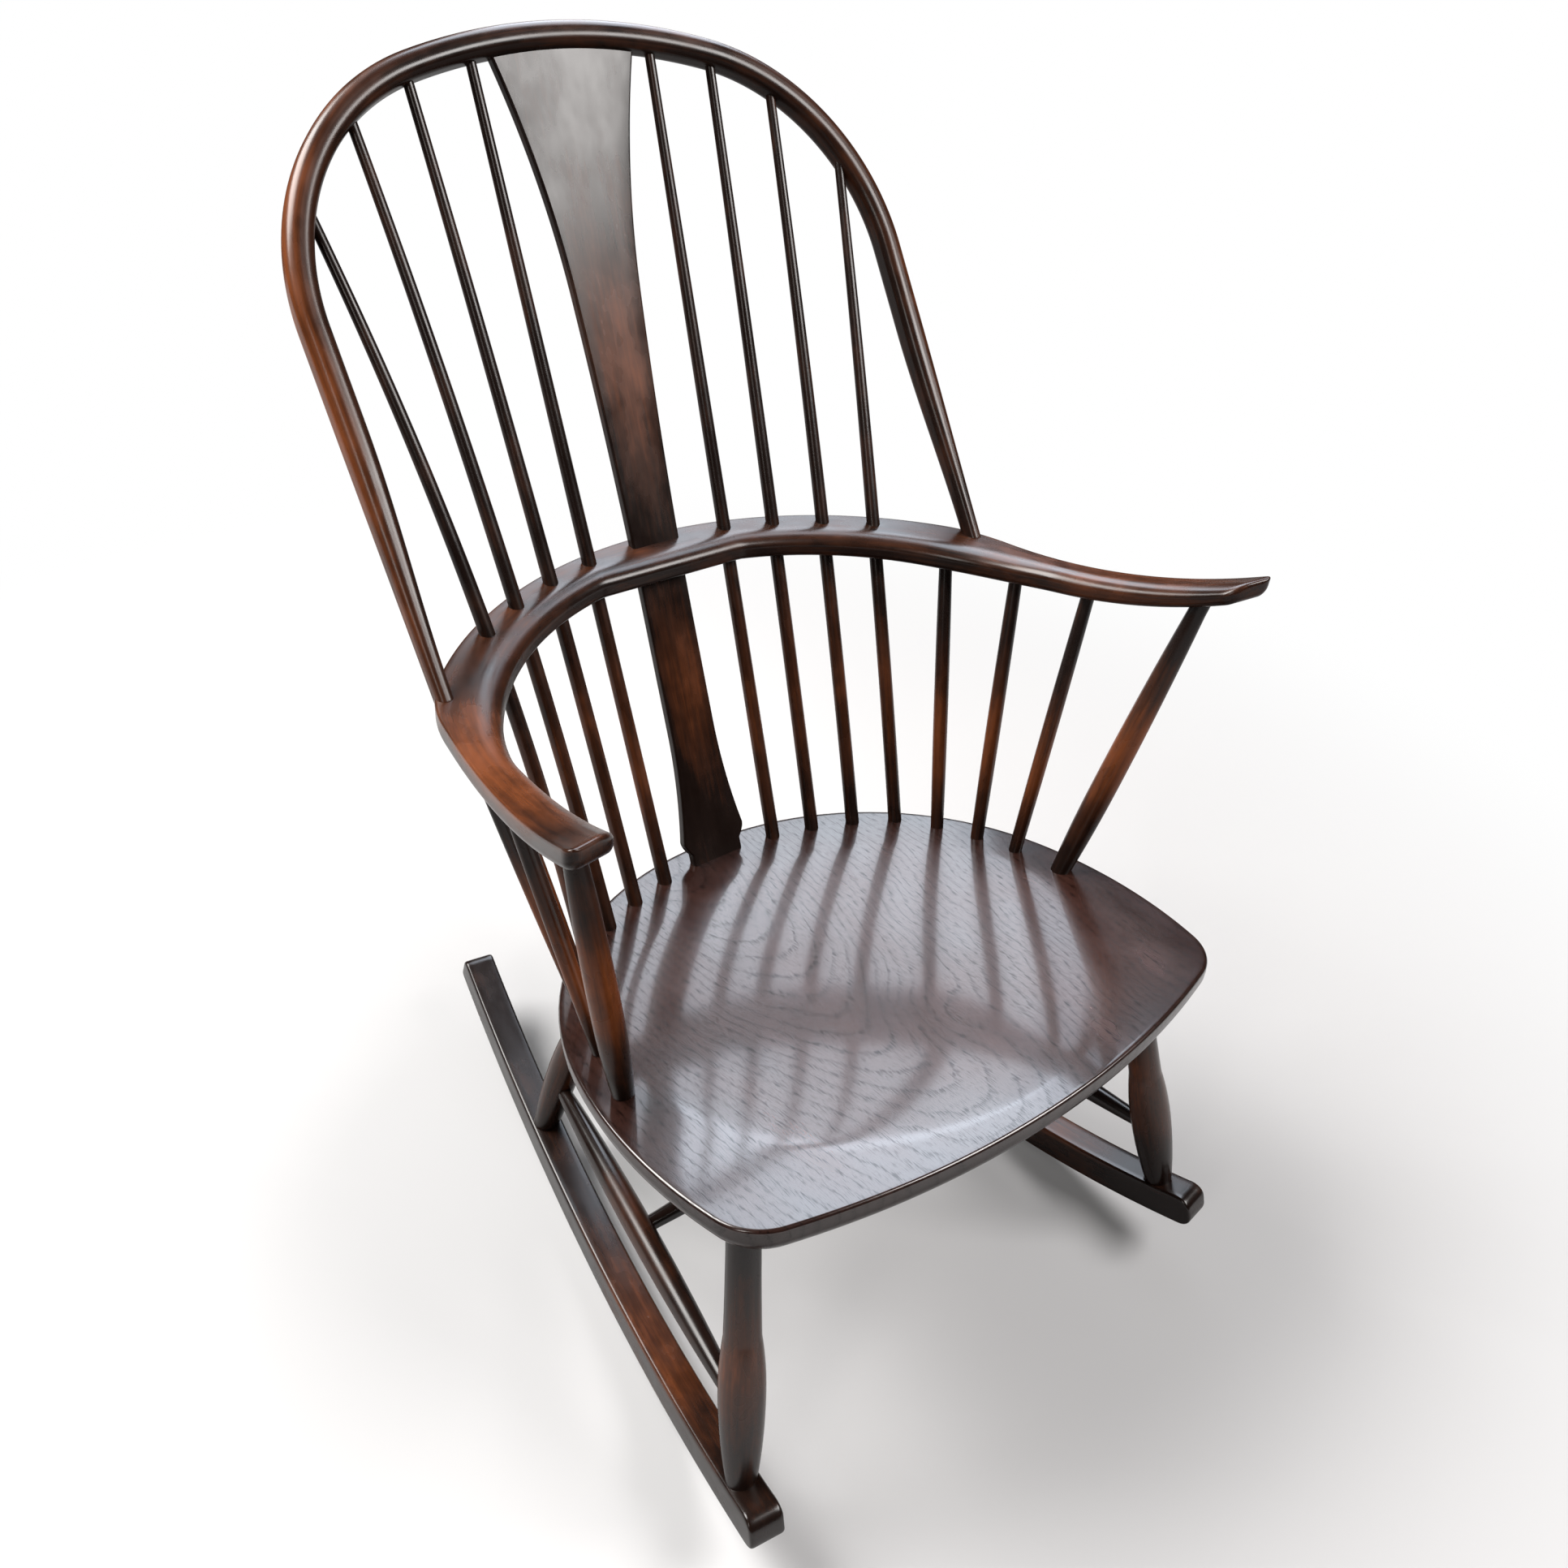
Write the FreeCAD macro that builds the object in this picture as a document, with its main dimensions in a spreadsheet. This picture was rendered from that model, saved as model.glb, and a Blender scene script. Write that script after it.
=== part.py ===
# A double bow Windsor rocking chair: every turned, bent and sawn piece is a solid of its own,
# and the pieces meet in drilled sockets, slots and coped feet.
import FreeCAD
import Part
import Sketcher
import math
import os

Vector = FreeCAD.Vector
Rotation = FreeCAD.Rotation
Placement = FreeCAD.Placement

# Driving dimensions in millimetres and degrees. X runs across, the chair faces -Y and Z is up.
# Heights are above the floor, and "back" places are measured from the middle of the depth.
DRIVING = {
    # Fits
    "fit_clearance": 0.15,
    "overrun": 6.0,
    # Rockers: two sawn arcs that draw together towards the back
    "rocker_radius": 932.0,
    "rocker_height": 32.5,
    "rocker_width": 30.0,
    "rocker_spread": 432.4,
    "rocker_toe_angle": 8.2,
    "rocker_front_reach": 300.0,
    "rocker_back_reach": 361.0,
    "rocker_rest_back": -78.5,
    "rocker_nose_round": 13.0,
    "rocker_heel_round": 8.0,
    "rocker_edge_round": 3.0,
    # Seat: a sawn and shaped board that leans back
    "seat_width": 544.0,
    "seat_depth": 458.5,
    "seat_thickness": 33.0,
    "seat_lean_angle": 7.5,
    "seat_front_height": 353.8,
    "seat_front_back": -345.6,
    "seat_front_radius": 773.0,
    "seat_side_radius": 400.0,
    "seat_rear_radius": 330.0,
    "seat_corner_round": 52.0,
    "seat_under_round": 16.0,
    "seat_rim_round": 2.5,
    "dish_width": 410.0,
    "dish_length": 330.0,
    "dish_depth": 7.0,
    "dish_swell": 60.0,
    # Sockets in the seat for the spindles and posts
    "socket_inset": 26.0,
    "socket_first_angle": 14.8,
    "socket_step_angle": 9.5,
    "post_socket_angle": 83.7,
    "seat_socket_depth": 14.5,
    # Legs
    "front_leg_top_across": 215.0,
    "front_leg_top_back": -253.5,
    "front_foot_back": -325.9,
    "rear_leg_top_across": 153.0,
    "rear_leg_top_back": 41.5,
    "rear_foot_back": 77.0,
    "leg_socket_depth": 14.0,
    "front_leg_top_width": 26.5,
    "front_leg_belly_width": 37.4,
    "front_leg_foot_width": 25.5,
    "rear_leg_top_width": 24.0,
    "rear_leg_belly_width": 31.0,
    "rear_leg_foot_width": 24.0,
    "leg_tenon_width": 15.0,
    "leg_tenon_length": 20.0,
    "leg_cope": 5.0,
    "leg_belly_room": 20.0,
    # Stretchers
    "side_stretcher_width": 24.0,
    "cross_stretcher_width": 22.0,
    "stretcher_end_width": 14.0,
    "stretcher_socket_depth": 12.0,
    "cross_socket_depth": 8.0,
    # Arm bow: one bent piece, level behind, rising forward and thinning along the arms
    "bow_top_height": 577.0,
    "bow_thickness": 22.0,
    "bow_rise_radius": 582.0,
    "bow_under_rise_radius": 551.0,
    "bow_rise_from_back": 80.0,
    "bow_rear_back": 219.5,
    "bow_rear_radius": 344.6,
    "bow_shoulder_across": 283.0,
    "bow_front_back": -208.0,
    "bow_front_slant": 13.0,
    "bow_front_outer_across": 331.5,
    "bow_front_inner_across": 290.0,
    "bow_inner_back": 169.5,
    "bow_inner_flat": 144.0,
    "bow_inner_radius": 277.0,
    "bow_inner_shoulder_across": 269.0,
    "bow_shoulder_round": 120.0,
    "bow_tip_outer_round": 12.0,
    "bow_tip_inner_round": 9.0,
    "bow_top_round": 5.0,
    "bow_under_round": 4.0,
    "bow_socket_depth": 14.0,
    # Hoop: a bent rod in a plane that leans further back than the spindles
    "hoop_section": 25.5,
    "hoop_width": 547.0,
    "hoop_rise": 477.5,
    "hoop_lean_angle": 37.1,
    "hoop_crown_radius": 499.0,
    "hoop_bend_radius": 188.0,
    "hoop_slant_angle": 1.3,
    "hoop_foot_back": 75.3,
    "hoop_cope": 13.0,
    "hoop_tenon_width": 14.0,
    "hoop_tenon_length": 14.0,
    # Spindles of the back, bent through the arm bow into the hoop
    "bow_hole_inset": 19.0,
    "bow_hole_first_angle": 13.8,
    "bow_hole_step_angle": 9.1,
    "spindle_foot_width": 13.3,
    "spindle_bow_width": 12.7,
    "spindle_upper_width": 10.6,
    "spindle_top_width": 8.2,
    # Short spindles and posts under the arms
    "short_spindle_width": 13.9,
    "short_spindle_end_width": 12.4,
    "post_foot_width": 18.0,
    "post_belly_width": 23.2,
    "post_top_width": 15.6,
    # Splat: a thin sawn board that flares to the hoop
    "splat_thickness": 9.5,
    "splat_top_width": 140.0,
    "splat_waist_width": 47.6,
    "splat_waist_rise": 228.0,
    "splat_flare_rise": 519.0,
    "splat_flare_width": 65.0,
    "splat_skirt_width": 68.0,
    "splat_skirt_rise": 24.0,
    "splat_skirt_top": 130.0,
    "splat_foot_width": 55.0,
    "splat_step": 10.0,
    "splat_tenon": 15.0,
}

# Shares chosen for places along a piece, each from its lower end or from the middle of the width
SEAT_WIDEST_SHARE = 0.362
SEAT_REAR_ARC_SHARE = 0.07157
DISH_MIDDLE_SHARE = 0.447
SOCKET_FAN_SHARE = 0.4057
LEG_BELLY_SHARE = 0.33
LEG_WAIST_SHARE = 0.53
LEG_WAIST_SWELL_SHARE = 0.30
STRETCHER_JOINT_SHARE = 0.25
POST_BELLY_SHARE = 0.33
ARM_SPINDLE_BELLY_SHARE = 0.5
SPINDLE_UPPER_SHARE = 0.70
SPINDLE_UNDER_BOW_STEPS = 3
SPINDLE_OVER_BOW_STEPS = 4
SPINDLE_UPPER_STEPS = 2
HOOP_SOCKET_ACROSS_SHARES = (0.303, 0.512, 0.713, 0.914)
ARM_SOCKET_ACROSS_SHARES = (0.866, 0.982, 1.027)
ARM_SOCKET_BACK_SHARES = (0.362, 0.080, -0.266)
POST_TOP_ACROSS_SHARE = 1.074
POST_TOP_BACK_SHARE = -0.749

# How close two places or ways have to be to count as one
SAME_PLACE = 0.001
SAME_WAY = 1e-6


class Size:
    """A size that knows its value and the spreadsheet expression that gives it."""

    def __init__(self, text, value):
        self.text = text
        self.value = value

    def __float__(self):
        return float(self.value)

    def __add__(self, other):
        return Size(f"({self.text} + {as_size(other).text})", self.value + float(other))

    def __sub__(self, other):
        return Size(f"({self.text} - {as_size(other).text})", self.value - float(other))

    def __mul__(self, other):
        return Size(f"({self.text} * {as_size(other).text})", self.value * float(other))

    def __truediv__(self, other):
        return Size(f"({self.text} / {as_size(other).text})", self.value / float(other))

    def __neg__(self):
        return Size(f"(-1 * {self.text})", -self.value)


def as_size(number):
    """Let a bare share or count stand beside sizes in a sum."""
    return number if isinstance(number, Size) else Size(repr(number), number)


def root(size):
    """The square root of a size, as a size."""
    return Size(f"sqrt({size.text})", math.sqrt(size.value))


def point(across, back, up):
    return Vector(float(across), float(back), float(up))


def heading(vector):
    """The vector at a length of one."""
    return vector * (1 / vector.Length)


ZERO = Size("0", 0.0)
doc = FreeCAD.newDocument("rocking_chair")


class Table:
    """A spreadsheet whose named cells hold the sizes."""

    def __init__(self, name):
        self.name = name
        self.sheet = doc.addObject("Spreadsheet::Sheet", name)
        self.rows = 0

    def add(self, name, value):
        self.rows += 1
        self.sheet.set(f"A{self.rows}", name)
        self.sheet.set(f"B{self.rows}", repr(round(float(value), 9)))
        self.sheet.setAlias(f"B{self.rows}", name)
        size = Size(f"{self.name}.{name}", round(float(value), 9))
        setattr(self, name, size)
        return size


drive = Table("drive")
for alias, number in DRIVING.items():
    drive.add(alias, number)
worked = Table("worked")
doc.recompute()

nodes = {}


def keep(label, thing):
    """Name a finished sub-part."""
    thing.Label = label
    nodes[label] = thing
    return thing


# Sketches and features

def new_body(label):
    body = doc.addObject("PartDesign::Body", label)
    body.Label = label
    return body


def sketch_on(body, role, name, offset=None):
    """A sketch on one of the body's own origin planes."""
    sketch = body.newObject("Sketcher::SketchObject", name)
    plane = next(item for item in body.Origin.OriginFeatures if item.Role == role)
    sketch.AttachmentSupport = [(plane, "")]
    sketch.MapMode = "FlatFace"
    if offset is not None:
        sketch.AttachmentOffset = offset
    return sketch


def corner(x, y, radius=None, side=1):
    """A corner of an outline; with a radius, an arc leads to it from the corner before.

    The arc's centre lies on the left of the way for side 1 and on the right for side -1.
    """
    return (x, y, radius, side)


def arc_between(start, end, radius, side):
    """The short arc of a radius between two points, and whether it runs from start to end."""
    middle = (start + end) * 0.5
    chord = end - start
    reach = math.sqrt(radius * radius - chord.Length * chord.Length / 4)
    left = heading(Vector(-chord.y, chord.x, 0))
    centre = middle + left * (reach * side)
    first, last = (start, end) if side > 0 else (end, start)
    begin = math.atan2(first.y - centre.y, first.x - centre.x)
    finish = math.atan2(last.y - centre.y, last.x - centre.x)
    return Part.ArcOfCircle(Part.Circle(centre, Vector(0, 0, 1), radius), begin, finish)


def place_constraint(sketch, axis, geometry, position, size):
    """Bind one coordinate of a point to a size."""
    if size.text == ZERO.text:
        line = -2 if axis == "X" else -1
        sketch.addConstraint(Sketcher.Constraint("PointOnObject", geometry, position, line))
        return
    constraint = Sketcher.Constraint(f"Distance{axis}", -1, 1, geometry, position, size.value)
    number = sketch.addConstraint(constraint)
    sketch.setExpression(f"Constraints[{number}]", size.text)


def draw(sketch, corners, closed=True):
    """Draw lines and arcs through the corners, every size bound to the sheets."""
    spots = [point(x, y, 0) for x, y, radius, side in corners]
    legs = len(corners) if closed else len(corners) - 1
    ends = []
    for index in range(legs):
        after = (index + 1) % len(corners)
        radius, side = corners[after][2], corners[after][3]
        if radius is None:
            number = sketch.addGeometry(Part.LineSegment(spots[index], spots[after]), False)
            ends.append((number, 1, 2))
        else:
            arc = arc_between(spots[index], spots[after], float(radius), side)
            number = sketch.addGeometry(arc, False)
            ends.append((number, 1, 2) if side > 0 else (number, 2, 1))
            bound = sketch.addConstraint(Sketcher.Constraint("Radius", number, float(radius)))
            sketch.setExpression(f"Constraints[{bound}]", radius.text)
    for index in range(legs - 1 + closed):
        number, first, last = ends[index]
        following = ends[(index + 1) % legs]
        joint = Sketcher.Constraint("Coincident", number, last, following[0], following[1])
        sketch.addConstraint(joint)
    for index, (x, y, radius, side) in enumerate(corners):
        number, position = (ends[index][0], ends[index][1]) if index < legs else (ends[-1][0], ends[-1][2])
        place_constraint(sketch, "X", number, position, x)
        place_constraint(sketch, "Y", number, position, y)


def ring(sketch, width):
    """A circle about the sketch's origin."""
    circle = Part.Circle(Vector(0, 0, 0), Vector(0, 0, 1), float(width) / 2)
    number = sketch.addGeometry(circle, False)
    sketch.addConstraint(Sketcher.Constraint("Coincident", number, 3, -1, 1))
    bound = sketch.addConstraint(Sketcher.Constraint("Diameter", number, float(width)))
    sketch.setExpression(f"Constraints[{bound}]", width.text)


def pad(body, sketch, length, side="One side", reverse=False):
    feature = body.newObject("PartDesign::Pad", sketch.Name + "_pad")
    feature.Profile = sketch
    feature.SideType = side
    feature.Reversed = reverse
    feature.setExpression("Length", length.text)
    return feature


def round_edges(body, picked, radius, name):
    """Round the edges of the body's tip whose middle and direction are picked."""
    doc.recompute()
    tip = body.Tip
    edges = [f"Edge{index + 1}" for index, edge in enumerate(tip.Shape.Edges) if picked(edge)]
    fillet = body.newObject("PartDesign::Fillet", name)
    fillet.Base = (tip, edges)
    fillet.setExpression("Radius", radius.text)
    body.Tip = fillet
    return fillet


def middle_of(edge):
    return edge.valueAt((edge.FirstParameter + edge.LastParameter) / 2)


def runs_along(edge, axis):
    """Whether an edge is straight and parallel to an axis."""
    way = edge.Vertexes[-1].Point - edge.Vertexes[0].Point
    return way.Length > 0 and abs(heading(way).dot(axis)) > 1 - SAME_WAY


def stand(thing, start, end, facing=None):
    """Place a piece with its own Z from start to end, and its own X to the right or facing."""
    up = heading(end - start)
    hint = facing if facing is not None else Vector(1, 0, 0)
    across = heading(hint - up * hint.dot(up))
    thing.Placement = Placement(start, Rotation(across, up.cross(across), up, "ZXY"))


def turned(label, start, end, stations, facing=None):
    """A piece turned on the line from start to end: widths at heights, straight or curved."""
    body = new_body(label)
    sketch = sketch_on(body, "XZ_Plane", label + "_profile")
    corners = [corner(ZERO, stations[0][1])]
    previous = None
    for width, height, bend in stations:
        radius, side = None, 1
        if bend is not None:
            grows = float(width) > float(previous[0])
            step = (width - previous[0]) / 2 if grows else (previous[0] - width) / 2
            rise = height - previous[1]
            radius = (rise * rise + step * step) / (step * 2)
            side = 1 if grows == (bend == "swell") else -1
        corners.append(corner(width / 2, height, radius, side))
        previous = (width, height)
    corners.append(corner(ZERO, stations[-1][1]))
    draw(sketch, corners)
    feature = body.newObject("PartDesign::Revolution", label + "_turning")
    feature.Profile = sketch
    feature.ReferenceAxis = (sketch, ["V_Axis"])
    stand(body, start, end, facing)
    return body


def drill(label, tip, outward, width, length, facing=None):
    """A drilled socket from its tip outwards, the fit clearance wider and deeper than the piece."""
    tool = doc.addObject("Part::Cylinder", label)
    tool.setExpression("Radius", (width / 2 + drive.fit_clearance).text)
    tool.setExpression("Height", (length + drive.fit_clearance).text)
    way = heading(outward)
    start = tip - way * float(drive.fit_clearance)
    stand(tool, start, start + way, facing)
    return tool


def dowel(label, start, way, width, length):
    """A plain round tenon."""
    tool = doc.addObject("Part::Cylinder", label)
    tool.setExpression("Radius", (width / 2).text)
    tool.setExpression("Height", length.text)
    stand(tool, start, start + way)
    return tool


def cut(label, blank, tools):
    """Take the tools away from a blank."""
    together = tools[0]
    if len(tools) > 1:
        together = doc.addObject("Part::MultiFuse", label + "_tools")
        together.Shapes = tools
    result = doc.addObject("Part::Cut", label)
    result.Base = blank
    result.Tool = together
    return result


def fuse(label, things):
    result = doc.addObject("Part::MultiFuse", label)
    result.Shapes = things
    return result


# Places shared by several pieces

SIDES = (("left", -1), ("right", 1))


def seat_placement():
    """The seat's own frame: X across, Y from the front edge backwards, Z out of the top."""
    front = point(0, drive.seat_front_back, drive.seat_front_height)
    return Placement(front, Rotation(Vector(1, 0, 0), -float(drive.seat_lean_angle)))


def seat_point(across, along, depth=0.0):
    return seat_placement().multVec(point(across, along, -float(depth)))


def circle_hit(origin, way, centre, radius):
    """How far along a way from the origin it crosses a circle from inside."""
    offset = origin - centre
    along = offset.dot(way)
    return -along + math.sqrt(along * along - offset.dot(offset) + radius * radius)


def seat_socket(angle, side):
    """A socket on the line that runs round the seat inside its edge."""
    origin = point(0, drive.seat_depth * SOCKET_FAN_SHARE, 0)
    turn = math.radians(angle)
    way = Vector(math.sin(turn), math.cos(turn), 0)
    inset = float(drive.socket_inset)
    rear_radius = float(drive.seat_rear_radius)
    side_radius = float(drive.seat_side_radius)
    rear = point(0, float(drive.seat_depth) - rear_radius, 0)
    flank = point(float(drive.seat_width) / 2 - side_radius, drive.seat_depth * SEAT_WIDEST_SHARE, 0)
    reach = min(circle_hit(origin, way, rear, rear_radius - inset),
                circle_hit(origin, way, flank, side_radius - inset))
    place = origin + way * reach
    return seat_point(place.x * side, place.y)


def rocker_point(back, side, rise):
    """A place over a rocker's centre line, at a height above its curved underside."""
    toe = math.radians(float(drive.rocker_toe_angle))
    behind = float(back) - float(drive.rocker_rest_back)
    across = (float(drive.rocker_spread) / 2 - behind * math.tan(toe)) * side
    along = behind / math.cos(toe)
    radius = float(drive.rocker_radius)
    up = radius - math.sqrt((radius - float(rise)) ** 2 - along * along)
    return point(across, back, up)


def seat_under_point(across, back):
    """Where an upright line meets the underside of the seat."""
    lean = math.radians(float(drive.seat_lean_angle))
    fall = (float(back) - float(drive.seat_front_back)) * math.tan(lean)
    return point(across, back, float(drive.seat_front_height) - fall
                 - float(drive.seat_thickness) / math.cos(lean))


def bow_top(back):
    """The height of the arm bow's top face."""
    ahead = max(0.0, float(drive.bow_rise_from_back) - float(back))
    radius = float(drive.bow_rise_radius)
    return float(drive.bow_top_height) + radius - math.sqrt(radius * radius - ahead * ahead)


def bow_under(back):
    """The height of the arm bow's underside."""
    ahead = max(0.0, float(drive.bow_rise_from_back) - float(back))
    radius = float(drive.bow_under_rise_radius)
    level = float(drive.bow_top_height) - float(drive.bow_thickness)
    return level + radius - math.sqrt(radius * radius - ahead * ahead)


def bow_inner_centre():
    """The middle of the arc that the bow's inner edge and its sockets are laid out from."""
    radius = float(drive.bow_inner_radius)
    flat = float(drive.bow_inner_flat) / 2
    return float(drive.bow_inner_back) - math.sqrt(radius * radius - flat * flat)


def bow_point(across, back):
    """A place half way through the arm bow."""
    return point(across, back, (bow_top(back) + bow_under(back)) / 2)


def bow_hole(angle, side):
    """A hole for a back spindle, on the line that runs round the bow inside its edge."""
    origin = point(0, bow_inner_centre(), 0)
    turn = math.radians(angle)
    way = Vector(math.sin(turn), math.cos(turn), 0)
    radius = float(drive.bow_rear_radius)
    centre = point(0, float(drive.bow_rear_back) - radius, 0)
    reach = circle_hit(origin, way, centre, radius - float(drive.bow_hole_inset))
    place = origin + way * reach
    return bow_point(place.x * side, place.y)


def hoop_frame():
    """The hoop's plane: X across and Z up the leaning plane from between its feet."""
    foot = point(0, drive.hoop_foot_back, bow_top(drive.hoop_foot_back))
    return Placement(foot, Rotation(Vector(1, 0, 0), -float(drive.hoop_lean_angle)))


def hoop_crown_angle():
    """Half the turn of the hoop's crown, up to where the tighter bends begin."""
    bend = float(drive.hoop_bend_radius)
    across = float(drive.hoop_width) / 2 - bend
    return math.asin(across / (float(drive.hoop_crown_radius) - bend))


def hoop_bend_height():
    """The height in the hoop's plane of the middle of its side bends."""
    crown, bend = float(drive.hoop_crown_radius), float(drive.hoop_bend_radius)
    return float(drive.hoop_rise) - crown + (crown - bend) * math.cos(hoop_crown_angle())


def hoop_point(across):
    """A place on the hoop's centre line, across from its middle."""
    crown, bend = float(drive.hoop_crown_radius), float(drive.hoop_bend_radius)
    reach = abs(across)
    if reach < crown * math.sin(hoop_crown_angle()):
        height = float(drive.hoop_rise) - crown + math.sqrt(crown * crown - reach * reach)
    else:
        beside = reach - (float(drive.hoop_width) / 2 - bend)
        height = hoop_bend_height() + math.sqrt(bend * bend - beside * beside)
    return hoop_frame().multVec(point(across, 0, height))


# The seat

def corner_circle(one, other, radius):
    """The circle of a radius that touches two larger ones from inside, on their right."""
    (first, first_radius), (second, second_radius) = one, other
    gap = second - first
    near, far = first_radius - radius, second_radius - radius
    along = (near ** 2 - far ** 2 + gap.dot(gap)) / (2 * gap.Length)
    off = math.sqrt(near ** 2 - along ** 2)
    aside = Vector(-heading(gap).y, heading(gap).x, 0)
    spots = [first + heading(gap) * along + aside * (off * sense) for sense in (1, -1)]
    return max(spots, key=lambda spot: spot.x), radius


def shoulder_circle(side, rear, across):
    """The circle that leaves the rear one at a place across and then touches the side one.

    From the joint at J, heading u to the rear centre, its radius r puts its centre at J + r u,
    and that lies side radius - r away from the side centre.
    """
    (side_centre, side_radius), (rear_centre, rear_radius) = side, rear
    joint = rear_centre + Vector(across, math.sqrt(rear_radius ** 2 - across ** 2), 0)
    inward = heading(rear_centre - joint)
    offset = joint - side_centre
    radius = (side_radius ** 2 - offset.dot(offset)) / (2 * (offset.dot(inward) + side_radius))
    return joint + inward * radius, radius


def touch_point(one, other):
    """Where two circles touch, when one lies inside the other."""
    large, small = (one, other) if one[1] > other[1] else (other, one)
    return large[0] + heading(small[0] - large[0]) * large[1]


def seat_circles():
    """The seat's front, corner, side, shoulder and rear circles, each touching the next."""
    front = (point(0, drive.seat_front_radius, 0), float(drive.seat_front_radius))
    side_radius = float(drive.seat_side_radius)
    side = (point(float(drive.seat_width) / 2 - side_radius, drive.seat_depth * SEAT_WIDEST_SHARE, 0),
            side_radius)
    rear_radius = float(drive.seat_rear_radius)
    rear = (point(0, float(drive.seat_depth) - rear_radius, 0), rear_radius)
    front_corner = corner_circle(front, side, float(drive.seat_corner_round))
    shoulder = shoulder_circle(side, rear, float(drive.seat_width) * SEAT_REAR_ARC_SHARE)
    return front, front_corner, side, shoulder, rear


def seat_blank():
    """The board: touching arcs all round, an undercut lower edge and a crisp rim."""
    circles = seat_circles()
    stops = []
    shoulder_radius = worked.add("seat_shoulder_radius", circles[3][1])
    radii = (drive.seat_corner_round, drive.seat_side_radius, shoulder_radius,
             drive.seat_rear_radius)
    for number, (one, other) in enumerate(zip(circles, circles[1:])):
        spot = touch_point(one, other)
        across = worked.add(f"seat_joint_{number}_across", spot.x)
        along = worked.add(f"seat_joint_{number}_along", spot.y)
        stops.append((across, along))
    body = new_body("seat_board")
    sketch = sketch_on(body, "XY_Plane", "seat_outline")
    right = [corner(*stops[0], drive.seat_front_radius)]
    right += [corner(*stop, radius) for stop, radius in zip(stops[1:], radii)]
    left = [corner(-across, along, radius)
            for (across, along), radius in zip(stops[::-1], (drive.seat_rear_radius, *radii[2::-1]))]
    draw(sketch, left[-1:] + right + left[:-1])
    pad(body, sketch, drive.seat_thickness, reverse=True)
    floor = -float(drive.seat_thickness)
    round_edges(body, lambda edge: all(abs(v.Z - floor) < SAME_PLACE for v in edge.Vertexes),
                drive.seat_under_round, "seat_undercut")
    round_edges(body, lambda edge: all(abs(v.Z) < SAME_PLACE for v in edge.Vertexes),
                drive.seat_rim_round, "seat_rim")
    body.Placement = seat_placement()
    return body


def seat_dish():
    """A shallow bowl scooped out of the seat by an ellipsoid that dips into it."""
    tool = doc.addObject("Part::Ellipsoid", "seat_dish")
    sunk = (drive.dish_swell - drive.dish_depth) / drive.dish_swell
    spread = root(Size("1", 1.0) - sunk * sunk)
    tool.setExpression("Radius1", drive.dish_swell.text)
    tool.setExpression("Radius2", (drive.dish_width / 2 / spread).text)
    tool.setExpression("Radius3", (drive.dish_length / 2 / spread).text)
    height = float(drive.dish_swell) - float(drive.dish_depth)
    start = seat_placement()
    start.Base = seat_point(0, drive.seat_depth * DISH_MIDDLE_SHARE, -height)
    tool.Placement = start
    return tool


# The arm bow and the hoop

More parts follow.
